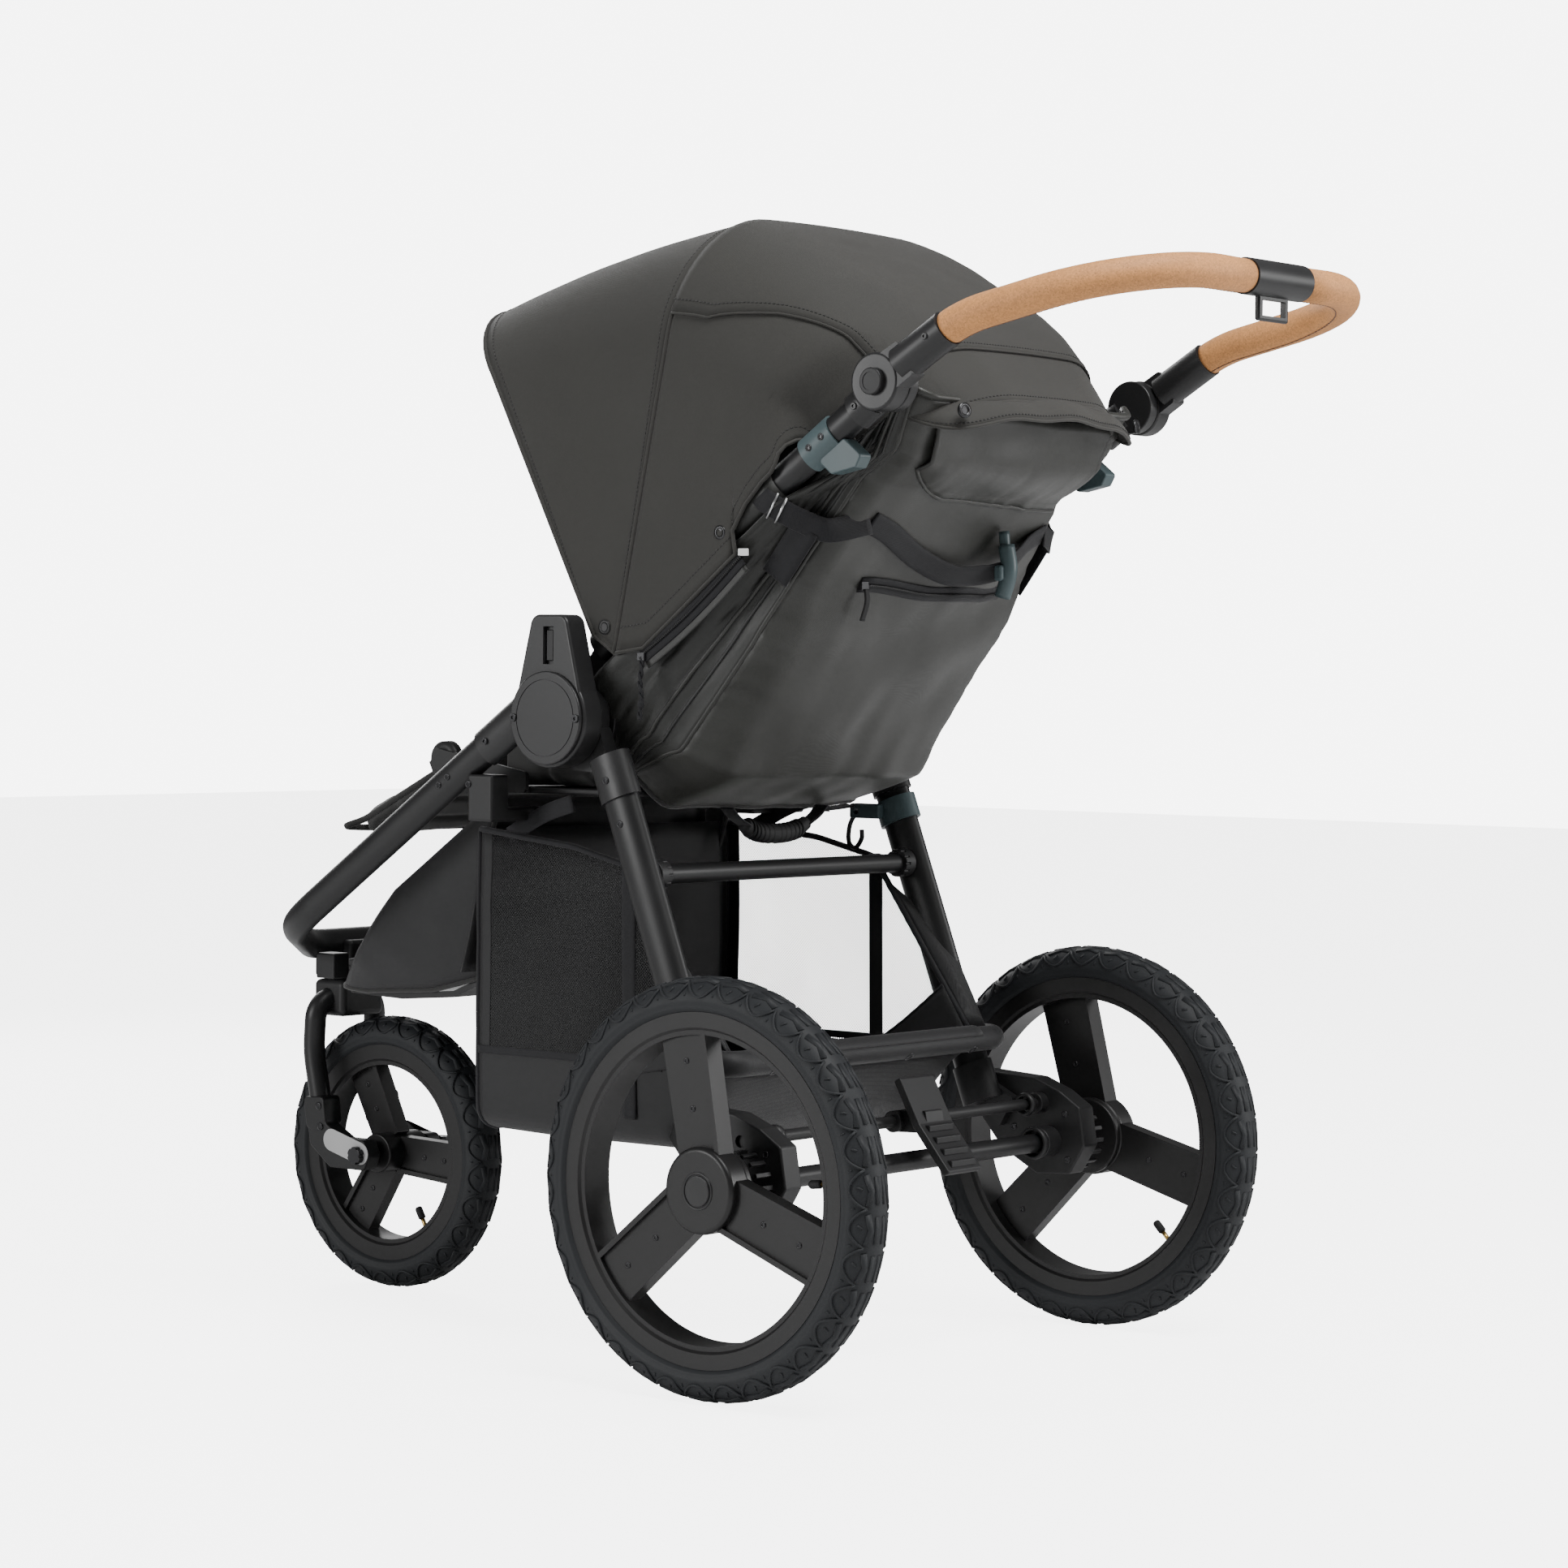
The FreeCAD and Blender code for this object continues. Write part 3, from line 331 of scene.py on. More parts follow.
def frames(path: Sequence[Vector], closed: bool = False,
           up: Vector | None = None) -> list[tuple[Vector, Vector, Vector]]:
    """Side and up directions that travel along a path without twisting.

    Args:
        path: points of the line.
        closed: whether it closes on itself.
        up: direction that the up side stays near, if it has one.

    Returns:
        (tangent, side, up) for each point.
    """
    count = len(path)
    tangents = []
    for i in range(count):
        ahead = path[(i + 1) % count] if closed else path[min(i + 1, count - 1)]
        behind = path[(i - 1) % count] if closed else path[max(i - 1, 0)]
        tangents.append((ahead - behind).normalized())
    out = []
    normal = up.copy() if up else tangents[0].orthogonal()
    for t in tangents:
        lean = up if up else normal
        normal = (lean - t * lean.dot(t)).normalized()
        out.append((t, t.cross(normal), normal))
    return out


def sweep(name: str, path: Sequence, section: Sequence[Side], closed: bool = False,
          up: Sequence[float] | None = None,
          size: Callable[[float], float] | None = None) -> bpy.types.Object:
    """Carry a closed section along a path.

    Args:
        name: piece's name.
        path: points of the line.
        section: (side, up) points of the section.
        closed: whether the line closes on itself.
        up: direction that the section's up side stays near.
        size: scale of the section by share of the path.

    Returns:
        The new piece.
    """
    line = [Vector(p) for p in path]
    rows = []
    for i, (_, side, top) in enumerate(frames(line, closed, Vector(up) if up else None)):
        k = size(i / (len(line) - 1)) if size else 1.0
        rows.append([line[i] + side * (a * k) + top * (b * k) for a, b in section])
    return outward(grid(name, rows, wrap=True, loop=closed, caps=not closed))


def circle(radius: float, sides: int = 12) -> list[Side]:
    """Points of a round section."""
    return [(radius * math.cos(2 * math.pi * k / sides), radius * math.sin(2 * math.pi * k / sides))
            for k in range(sides)]


def flat(width: float, thickness: float) -> list[Side]:
    """Points of a webbing's section, with rounded edges."""
    w, t = width / 2, thickness / 2
    return [(w, 0), (w - t * 0.5, t), (w * 0.5, t), (0, t), (-w * 0.5, t), (t * 0.5 - w, t), (-w, 0),
            (t * 0.5 - w, -t), (-w * 0.5, -t), (0, -t), (w * 0.5, -t), (w - t * 0.5, -t)]


def cord_pipe(name: str, points: Sequence, radius: float, closed: bool = False,
              steps: int = 6, sides: int = 10) -> bpy.types.Object:
    """Round pipe along a smooth line."""
    return sweep(name, spline(points, steps, closed), circle(radius, sides), closed)


def webbing(name: str, points: Sequence, width: float, up: Sequence[float],
            thickness: float = 0.0018, steps: int = 8) -> bpy.types.Object:
    """Flat webbing along a smooth line, its face towards up."""
    return sweep(name, spline(points, steps), flat(width, thickness), up=up)


def lathe(name: str, profile: Sequence[Side], x: float, centre: Side,
          steps: int = 96) -> bpy.types.Object:
    """Turn a profile of (across, radius) points about a line along X.

    Args:
        name: piece's name.
        profile: closed outline.
        x: where its zero lies along X.
        centre: side-view place of the line.
        steps: faces around.

    Returns:
        The new piece.
    """
    rows = []
    for k in range(steps):
        a = 2 * math.pi * k / steps
        rows.append([(x + p[0], centre[0] + p[1] * math.cos(a), centre[1] + p[1] * math.sin(a))
                     for p in profile])
    return outward(grid(name, rows, wrap=True, loop=True))


def box(name: str, low: Point, high: Point, edge: float = 0.001) -> bpy.types.Object:
    """Block with rounded edges.

    Args:
        name: piece's name.
        low: lowest corner.
        high: highest corner.
        edge: rounding of the edges.

    Returns:
        The new piece.
    """
    verts = [(x, y, z) for x in (low[0], high[0]) for y in (low[1], high[1])
             for z in (low[2], high[2])]
    faces = [(0, 1, 3, 2), (4, 6, 7, 5), (0, 4, 5, 1), (2, 3, 7, 6), (0, 2, 6, 4), (1, 5, 7, 3)]
    return bevelled(outward(new_piece(name, verts, faces)), edge)


def slab(name: str, outline: Sequence[Side], x0: float, x1: float,
         edge: float = 0.001) -> bpy.types.Object:
    """Side-view outline given thickness along X, with rounded rims."""
    rows = [[(x, y, z) for y, z in outline] for x in (x0, x1)]
    return bevelled(outward(grid(name, rows, wrap=True, caps=True)), edge)


def crease(p: Vector, scale: float, depth: float, seed: float = 0.0) -> float:
    """Soft wrinkle height at a point."""
    q = Vector((p.x * scale + seed, p.y * scale, p.z * scale))
    return depth * noise.fractal(q, 0.9, 2.1, 3)


def puff(piece: bpy.types.Object, cap: float = 0.008, voxel: float = 0.006,
         pressure: float = 4.0) -> bpy.types.Object:
    """Swell a closed pad with a short cloth simulation.

    Args:
        piece: closed mesh, a little smaller than the finished pad.
        cap: most that a point may move.
        voxel: size of the even mesh it is given.
        pressure: air pressure inside.

    Returns:
        The same piece, swollen and smooth.
    """
    even = piece.modifiers.new("even", "REMESH")
    even.mode = "VOXEL"
    even.voxel_size = voxel
    settle(piece)
    before = [v.co.copy() for v in piece.data.vertices]
    scene = bpy.context.scene
    cloth = piece.modifiers.new("cloth", "CLOTH")
    cloth.settings.use_pressure = True
    cloth.settings.uniform_pressure_force = pressure
    cloth.settings.effector_weights.gravity = 0.0
    cloth.settings.quality = 4
    cloth.collision_settings.use_collision = False
    cloth.point_cache.frame_start = 1
    cloth.point_cache.frame_end = CLOTH_FRAMES
    for step in range(1, CLOTH_FRAMES + 1):
        scene.frame_set(step)
    settle(piece)
    for vertex, start in zip(piece.data.vertices, before):
        move = vertex.co - start
        if move.length > cap:
            vertex.co = start + move.normalized() * cap
    scene.frame_set(1)
    for polygon in piece.data.polygons:
        polygon.use_smooth = True
    return rounded(piece)


# ---------------------------------------------------------------- node tools

class Graph:
    """Short way to add and join nodes in one tree."""

    def __init__(self, tree: bpy.types.NodeTree) -> None:
        """Keep the tree."""
        self.tree = tree

    def add(self, kind: str, inputs: dict | None = None, **settings) -> bpy.types.Node:
        """Add a node.

        Args:
            kind: Blender's name of the node.
            inputs: value or socket for each input, by name or place.
            settings: the node's own options.

        Returns:
            The node.
        """
        node = self.tree.nodes.new(kind)
        for key, value in settings.items():
            setattr(node, key, value)
        for key, value in (inputs or {}).items():
            if isinstance(value, bpy.types.NodeSocket):
                self.tree.links.new(value, node.inputs[key])
            else:
                node.inputs[key].default_value = value
        return node

    def sum(self, kind: str, a, b=0.0) -> bpy.types.NodeSocket:
        """Result of a Math node."""
        return self.add("ShaderNodeMath", {0: a, 1: b}, operation=kind).outputs[0]

    def mix(self, share, a, b) -> bpy.types.NodeSocket:
        """Colour mixed between two.

        Args:
            share: share of the second colour, a value or a socket.
            a: first colour.
            b: second colour.

        Returns:
            Socket of the mixed colour.
        """
        node = self.add("ShaderNodeMix", data_type="RGBA")
        for key, value in (("Factor", share), ("A", a), ("B", b)):
            sockets = [s for s in node.inputs if s.name == key and s.enabled]
            if isinstance(value, bpy.types.NodeSocket):
                self.tree.links.new(value, sockets[0])
            else:
                sockets[0].default_value = value
        return [s for s in node.outputs if s.enabled][0]


def effect(name: str, inputs: dict[str, float], outputs: Sequence[str],
           fill: Callable[[Graph, dict], dict]) -> bpy.types.NodeTree:
    """Shader group with named number inputs and outputs.

    Args:
        name: group's name.
        inputs: default of each input.
        outputs: names of the outputs.
        fill: makes the nodes and returns a socket for each output.

    Returns:
        The group.
    """
    tree = bpy.data.node_groups.new(name, "ShaderNodeTree")
    for key, value in inputs.items():
        socket = tree.interface.new_socket(name=key, in_out="INPUT", socket_type="NodeSocketFloat")
        socket.default_value = value
    for key in outputs:
        tree.interface.new_socket(name=key, in_out="OUTPUT", socket_type="NodeSocketFloat")
    graph = Graph(tree)
    entry = graph.add("NodeGroupInput")
    graph.add("NodeGroupOutput", fill(graph, {k: entry.outputs[k] for k in inputs}))
    return tree


def fill_grain(g: Graph, at: dict) -> dict:
    """Fine moulding grain with slow patches of wear.

    Args:
        g: the group's graph.
        at: its input sockets by name.

    Returns:
        Sockets for Height and Patch.
    """
    place = g.add("ShaderNodeTexCoord").outputs["Object"]
    fine = g.add("ShaderNodeTexNoise", {"Vector": place, "Scale": at["Scale"], "Detail": 3.0})
    slow = g.add("ShaderNodeTexNoise", {"Vector": place, "Scale": at["Patches"], "Detail": 2.0})
    return {"Height": fine.outputs[0], "Patch": slow.outputs[0]}


def fill_weave(g: Graph, at: dict) -> dict:
    """Crossed threads, with slubs and slow patches.

    Args:
        g: the group's graph.
        at: its input sockets by name.

    Returns:
        Sockets for Height, Slub and Patch.
    """
    place = g.add("ShaderNodeTexCoord").outputs["Object"]
    axes = g.add("ShaderNodeSeparateXYZ", {0: place})
    flow = g.sum("ADD", axes.outputs["Y"], g.sum("MULTIPLY", axes.outputs["Z"], 0.6))
    warp = g.sum("SINE", g.sum("MULTIPLY", g.sum("ADD", axes.outputs["X"], flow), at["Scale"]))
    weft = g.sum("SINE", g.sum("MULTIPLY", g.sum("SUBTRACT", axes.outputs["Z"],
                                                 axes.outputs["Y"]), at["Scale"]))
    slub = g.add("ShaderNodeTexNoise", {"Vector": place, "Scale": 380.0, "Detail": 2.0})
    slow = g.add("ShaderNodeTexNoise", {"Vector": place, "Scale": 9.0, "Detail": 3.0})
    threads = g.sum("MULTIPLY", warp, weft)
    return {"Height": g.sum("ADD", threads, g.sum("MULTIPLY", slub.outputs[0], 0.8)),
            "Slub": slub.outputs[0], "Patch": slow.outputs[0]}


def fill_mesh(g: Graph, at: dict) -> dict:
    """Holes of an open mesh cloth: 1 is thread, 0 is hole.

    Args:
        g: the group's graph.
        at: its input sockets by name.

    Returns:
        Sockets for Thread and Height.
    """
    place = g.add("ShaderNodeTexCoord").outputs["Object"]
    axes = g.add("ShaderNodeSeparateXYZ", {0: place})
    a = g.sum("ADD", axes.outputs["Y"], axes.outputs["X"])
    b = axes.outputs["Z"]
    one = g.sum("SINE", g.sum("MULTIPLY", g.sum("ADD", a, b), at["Scale"]))
    two = g.sum("SINE", g.sum("MULTIPLY", g.sum("SUBTRACT", a, b), at["Scale"]))
    hole = g.sum("ADD", one, two)
    return {"Thread": g.sum("LESS_THAN", hole, at["Open"]), "Height": hole}


def fill_cork(g: Graph, at: dict) -> dict:
    """Pressed cork: pale granules with small dark flecks.

    Args:
        g: the group's graph.
        at: its input sockets by name.

    Returns:
        Sockets for Tone, Fleck and Height.
    """
    place = g.add("ShaderNodeTexCoord").outputs["Object"]
    cells = g.add("ShaderNodeTexVoronoi", {"Vector": place, "Scale": at["Scale"]})
    fleck = g.add("ShaderNodeTexNoise", {"Vector": place, "Scale": 700.0, "Detail": 3.0})
    slow = g.add("ShaderNodeTexNoise", {"Vector": place, "Scale": 40.0, "Detail": 3.0})
    tone = g.add("ShaderNodeSeparateColor", {0: cells.outputs["Color"]}).outputs[0]
    dark = g.sum("GREATER_THAN", fleck.outputs[0], 0.64)
    return {"Tone": g.sum("ADD", g.sum("MULTIPLY", tone, 0.7),
                          g.sum("MULTIPLY", slow.outputs[0], 0.5)),
            "Fleck": dark, "Height": g.sum("SUBTRACT", tone, dark)}


class Effects:
    """Shader groups that several finishes share, built once."""

    def __init__(self) -> None:
        """Build the groups."""
        self.grain = effect("fine grain", {"Scale": 900.0, "Patches": 14.0},
                            ["Height", "Patch"], fill_grain)
        self.weave = effect("woven threads", {"Scale": 5200.0}, ["Height", "Slub", "Patch"],
                            fill_weave)
        self.mesh = effect("open mesh", {"Scale": 1900.0, "Open": 0.3}, ["Thread", "Height"],
                           fill_mesh)
        self.cork = effect("pressed cork", {"Scale": 620.0}, ["Tone", "Fleck", "Height"],
                           fill_cork)


EFFECTS = Effects()


def blank(name: str) -> tuple[bpy.types.Material, Graph, bpy.types.Node]:
    """Material with one Principled shader, ready to be given its nodes.

    Args:
        name: material's name.

    Returns:
        The material, its graph and its shader.
    """
    material = bpy.data.materials.new(name)
    material.use_nodes = True
    graph = Graph(material.node_tree)
    shader = material.node_tree.nodes["Principled BSDF"]
    return material, graph, shader


def shades(colour: Colour, spread: float) -> tuple[tuple, tuple]:
    """Darker and lighter versions of a colour."""
    return (tuple(c * (1 - spread) for c in colour) + (1.0,),
            tuple(c * (1 + spread) for c in colour) + (1.0,))


# ---------------------------------------------------------------- finishes

@dataclass(frozen=True)
class Moulded:
    """Moulded plastic, powder coat or metal: grain, slow patches and gloss."""
    name: str
    colour: Colour
    roughness: float = 0.5
    grain: float = 900.0
    depth: float = 0.00004
    spread: float = 0.18
    metallic: float = 0.0
    coat: float = 0.0
    specular: float = 0.38

    def build(self) -> bpy.types.Material:
        """Make the material.

        Returns:
            The material.
        """
        material, g, shader = blank(self.name)
        group = g.add("ShaderNodeGroup", node_tree=EFFECTS.grain)
        group.inputs["Scale"].default_value = self.grain
        dark, light = shades(self.colour, self.spread)
        g.tree.links.new(g.mix(group.outputs["Patch"], dark, light), shader.inputs["Base Color"])
        rough = g.sum("ADD", g.sum("MULTIPLY", group.outputs["Patch"], 0.16),
                      self.roughness - 0.08)
        g.tree.links.new(rough, shader.inputs["Roughness"])
        bump = g.add("ShaderNodeBump", {"Height": group.outputs["Height"],
                                        "Strength": 0.5, "Distance": self.depth})
        g.tree.links.new(bump.outputs[0], shader.inputs["Normal"])
        shader.inputs["Metallic"].default_value = self.metallic
        shader.inputs["Specular IOR Level"].default_value = self.specular
        shader.inputs["Coat Weight"].default_value = self.coat
        return material


@dataclass(frozen=True)
class Cloth:
    """Woven cloth with thread bump, slubs, slow shade changes and sheen."""
    name: str
    colour: Colour
    roughness: float = 0.7
    sheen: float = 0.25
    threads: float = 5200.0
    depth: float = 0.00012
    spread: float = 0.14
    specular: float = 0.3

    def build(self) -> bpy.types.Material:
        """Make the material.

        Returns:
            The material.
        """
        material, g, shader = blank(self.name)
        group = g.add("ShaderNodeGroup", node_tree=EFFECTS.weave)
        group.inputs["Scale"].default_value = self.threads
        dark, light = shades(self.colour, self.spread)
        patch = g.mix(group.outputs["Patch"], dark, light)
        slub_dark, slub_light = shades((0.85, 0.85, 0.85), 0.18)
        slub = g.mix(group.outputs["Slub"], slub_dark, slub_light)
        mixed = g.add("ShaderNodeVectorMath", {0: patch, 1: slub}, operation="MULTIPLY")
        g.tree.links.new(mixed.outputs[0], shader.inputs["Base Color"])
        rough = g.sum("ADD", g.sum("MULTIPLY", group.outputs["Slub"], 0.14),
                      self.roughness - 0.07)
        g.tree.links.new(rough, shader.inputs["Roughness"])
        bump = g.add("ShaderNodeBump", {"Height": group.outputs["Height"],
                                        "Strength": 0.45, "Distance": self.depth})
        g.tree.links.new(bump.outputs[0], shader.inputs["Normal"])
        shader.inputs["Specular IOR Level"].default_value = self.specular
        shader.inputs["Sheen Weight"].default_value = self.sheen
        shader.inputs["Sheen Roughness"].default_value = 0.5
        return material


@dataclass(frozen=True)
class MeshCloth:
    """Open mesh that is seen through."""
    name: str
    colour: Colour
    scale: float = 1900.0
    opening: float = 0.3

    def build(self) -> bpy.types.Material:
        """Make the material.

        Returns:
            The material.
        """
        material, g, shader = blank(self.name)
        group = g.add("ShaderNodeGroup", node_tree=EFFECTS.mesh)
        group.inputs["Scale"].default_value = self.scale
        group.inputs["Open"].default_value = self.opening
        g.tree.links.new(group.outputs["Thread"], shader.inputs["Alpha"])
        dark, light = shades(self.colour, 0.3)
        g.tree.links.new(g.mix(group.outputs["Height"], dark, light),
                         shader.inputs["Base Color"])
        shader.inputs["Roughness"].default_value = 0.75
        return material


@dataclass(frozen=True)
class Cork:
    """Pressed cork sleeve."""
    name: str
    colour: Colour

    def build(self) -> bpy.types.Material:
        """Make the material.

        Returns:
            The material.
        """
        material, g, shader = blank(self.name)
        group = g.add("ShaderNodeGroup", node_tree=EFFECTS.cork)
        dark, light = shades(self.colour, 0.22)
        base = g.mix(group.outputs["Tone"], dark, light)
        fleck = tuple(c * 0.42 for c in self.colour) + (1.0,)
        share = g.sum("MULTIPLY", group.outputs["Fleck"], 0.6)
        g.tree.links.new(g.mix(share, base, fleck), shader.inputs["Base Color"])
        bump = g.add("ShaderNodeBump", {"Height": group.outputs["Height"], "Strength": 0.4,
                                        "Distance": 0.0002})
        g.tree.links.new(bump.outputs[0], shader.inputs["Normal"])
        shader.inputs["Roughness"].default_value = 0.68
        return material


class Finish(Enum):
    """Every finish on the stroller."""
    CANOPY = Cloth("canopy cloth", (0.034, 0.033, 0.0295), 0.72, 0.12)
    CANOPY_LINING = Cloth("canopy lining", (0.030, 0.0295, 0.028), 0.8, 0.1)
    SEAT = Cloth("seat cloth", (0.025, 0.0255, 0.022), 0.40, 0.08, 6000.0, 0.00007, 0.14, 0.42)
    SEAT_DARK = Cloth("seat side cloth", (0.016, 0.0165, 0.0145), 0.40, 0.06, 6000.0, 0.00007, 0.14, 0.4)
    LINER = Cloth("seat liner", (0.035, 0.035, 0.034), 0.85, 0.3, 4200.0)
    BLACK_CLOTH = Cloth("basket cloth", (0.012, 0.012, 0.013), 0.5, 0.1, 6000.0)
    PIPING = Cloth("bound edge", (0.020, 0.020, 0.019), 0.7, 0.2, 7000.0)
    WEBBING = Cloth("webbing", (0.0075, 0.0075, 0.0095), 0.65, 0.08, 4000.0, 0.0002)
    THREAD = Cloth("thread", (0.014, 0.014, 0.013), 0.6, 0.2, 9000.0)
    TAN_THREAD = Cloth("cork thread", (0.20, 0.10, 0.045), 0.7, 0.2, 9000.0)
    MESH = MeshCloth("mesh cloth", (0.012, 0.012, 0.013), 1900.0, -0.35)
    CORK = Cork("cork", (0.56, 0.25, 0.085))
    FRAME = Moulded("powder coat", (0.0095, 0.0095, 0.010), 0.42, 1400.0)
    PLASTIC = Moulded("black plastic", (0.0105, 0.0105, 0.011), 0.5, 1100.0, 0.00006)
    SOFT_PLASTIC = Moulded("satin plastic", (0.016, 0.016, 0.0165), 0.40, 1200.0)
    WHEEL = Moulded("wheel plastic", (0.0095, 0.0092, 0.0094), 0.40, 1200.0)
    TEAL = Moulded("teal grey plastic", (0.055, 0.082, 0.088), 0.42, 1000.0)
    TYRE = Moulded("tyre rubber", (0.010, 0.0115, 0.0135), 0.62, 500.0, 0.0001)
    RUBBER = Moulded("soft rubber", (0.009, 0.009, 0.0095), 0.7, 600.0, 0.0001)
    STEEL = Moulded("bright steel", (0.55, 0.55, 0.55), 0.28, 1500.0, 0.00002, 0.1, 1.0)
    DARK_STEEL = Moulded("black screw steel", (0.045, 0.045, 0.047), 0.3, 1500.0, 0.00002, 0.1, 0.8)
    BRASS = Moulded("brass", (0.62, 0.42, 0.13), 0.3, 1500.0, 0.00002, 0.1, 1.0)
    WHITE = Moulded("white tape", (0.75, 0.75, 0.74), 0.6, 900.0)
    LABEL = Moulded("grey label", (0.42, 0.42, 0.42), 0.45, 900.0)


MADE: dict[Finish, bpy.types.Material] = {}


def finish(kind: Finish) -> bpy.types.Material:
    """The finish's material, built the first time it is asked for.

    Args:
        kind: the finish.

    Returns:
        The material.
    """
    if kind not in MADE:
        MADE[kind] = kind.value.build()
    return MADE[kind]


def dress(piece: bpy.types.Object, *kinds: Finish) -> bpy.types.Object:
    """Give a piece its finishes.

    Args:
        piece: the piece.
        kinds: finish of each material slot.

    Returns:
        The same piece.
    """
    piece.data.materials.clear()
    for kind in kinds:
        piece.data.materials.append(finish(kind))
    return piece


def place(piece: bpy.types.Object, body: str, slot: str) -> bpy.types.Object:
    """Let a finished piece ride on its body.

    Args:
        piece: finished piece.
        body: body that it rides on.
        slot: not used.

    Returns:
        The same piece.
    """
    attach(piece, body)
    log.info("%s: %d faces on %s", piece.name, len(piece.data.polygons), body)
    return piece


def dress_nodes(kind: Finish, *names: str) -> None:
    """Give CAD nodes a finish.

    Args:
        kind: the finish.
        names: nodes of the frame.
    """
    for name in names:
        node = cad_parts[name]
        while len(node.material_slots) < 1:
            node.data.materials.append(None)
        for holder in node.material_slots:
            holder.material = finish(kind)
        log.info("%s keeps its shape, in %s", name, kind.value.name)


# ---------------------------------------------------------------- repeated parts

class Maker:
    """Geometry node trees for what repeats, each built once."""

    def __init__(self) -> None:
        """Build the trees."""
        self.run = self._run_tree()
        self.heads = self._head_tree()
        self.ring = self._ring_tree()

    @staticmethod
    def _tree(name: str, numbers: dict[str, float]) -> tuple[Graph, bpy.types.Node]:
        """Tree with a shape, numbers and a finish as inputs.

        Args:
            name: tree's name.
            numbers: number inputs; a whole number makes a whole input.

        Returns:
            Its graph and its input node.
        """
        tree = bpy.data.node_groups.new(name, "GeometryNodeTree")
        tree.interface.new_socket(name="Shape", in_out="INPUT", socket_type="NodeSocketGeometry")
        for key, value in numbers.items():
            kind = "NodeSocketInt" if isinstance(value, int) else "NodeSocketFloat"
            tree.interface.new_socket(name=key, in_out="INPUT", socket_type=kind)
        tree.interface.new_socket(name="Finish", in_out="INPUT", socket_type="NodeSocketMaterial")
        tree.interface.new_socket(name="Shape", in_out="OUTPUT", socket_type="NodeSocketGeometry")
        graph = Graph(tree)
        return graph, graph.add("NodeGroupInput")

    @staticmethod
    def _close(g: Graph, entry: bpy.types.Node, shape: bpy.types.NodeSocket) -> bpy.types.NodeTree:
        """End a tree with real geometry and its finish.

        Args:
            g: the tree's graph.
            entry: its input node.
            shape: socket of the finished shape.

        Returns:
            The tree.
        """
        real = g.add("GeometryNodeRealizeInstances", {0: shape})
        smooth = g.add("GeometryNodeSetShadeSmooth", {0: real.outputs[0], "Shade Smooth": False})
        done = g.add("GeometryNodeSetMaterial", {"Geometry": smooth.outputs[0],
                                                 "Material": entry.outputs["Finish"]})
        g.add("NodeGroupOutput", {0: done.outputs[0]})
        return g.tree

    def _run_tree(self) -> bpy.types.NodeTree:
        """Small round-ended pieces along a line: stitches, teeth, ribs.

        Returns:
            The tree.
        """
        g, entry = self._tree("pieces along a line",
                              {"Pitch": 0.004, "Length": 0.003, "Radius": 0.0004, "Sides": 6})
        line = g.add("GeometryNodeMeshToCurve", {0: entry.outputs["Shape"]})
        spots = g.add("GeometryNodeCurveToPoints", {"Curve": line.outputs[0],
                                                    "Length": entry.outputs["Pitch"]},
                      mode="LENGTH")
        one = g.add("GeometryNodeMeshCylinder", {"Vertices": entry.outputs["Sides"],
                                                 "Radius": entry.outputs["Radius"],
                                                 "Depth": entry.outputs["Length"]})
        many = g.add("GeometryNodeInstanceOnPoints", {"Points": spots.outputs["Points"],
                                                      "Instance": one.outputs["Mesh"],
                                                      "Rotation": spots.outputs["Rotation"]})
        return self._close(g, entry, many.outputs[0])

    def _head_tree(self) -> bpy.types.NodeTree:
        """Screw or rivet heads on points that carry an aim.

        Returns:
            The tree.
        """
        g, entry = self._tree("heads on points", {"Radius": 0.004, "Height": 0.002,
                                                  "Recess": 0.0012, "Sides": 20})
        base = g.add("GeometryNodeMeshCylinder", {"Vertices": entry.outputs["Sides"],
                                                  "Radius": entry.outputs["Radius"],
                                                  "Depth": entry.outputs["Height"]})
        rim = g.add("GeometryNodeExtrudeMesh", {"Mesh": base.outputs["Mesh"],
                                                "Selection": base.outputs["Top"],
                                                "Offset Scale": 0.0002}, mode="FACES")
        inner = g.add("GeometryNodeScaleElements", {"Geometry": rim.outputs["Mesh"],
                                                    "Selection": rim.outputs["Top"],
                                                    "Scale": 0.55})
        down = g.sum("MULTIPLY", entry.outputs["Recess"], -1.0)
        socket = g.add("GeometryNodeExtrudeMesh", {"Mesh": inner.outputs[0],
                                                   "Selection": rim.outputs["Top"],
                                                   "Offset Scale": down}, mode="FACES")
        aim = g.add("GeometryNodeInputNamedAttribute", {"Name": "aim"}, data_type="FLOAT_VECTOR")
        turn = g.add("FunctionNodeAlignRotationToVector", {"Vector": aim.outputs[0]}, axis="Z")
        many = g.add("GeometryNodeInstanceOnPoints", {"Points": entry.outputs["Shape"],
                                                      "Instance": socket.outputs["Mesh"],
                                                      "Rotation": turn.outputs[0]})
        return self._close(g, entry, many.outputs[0])

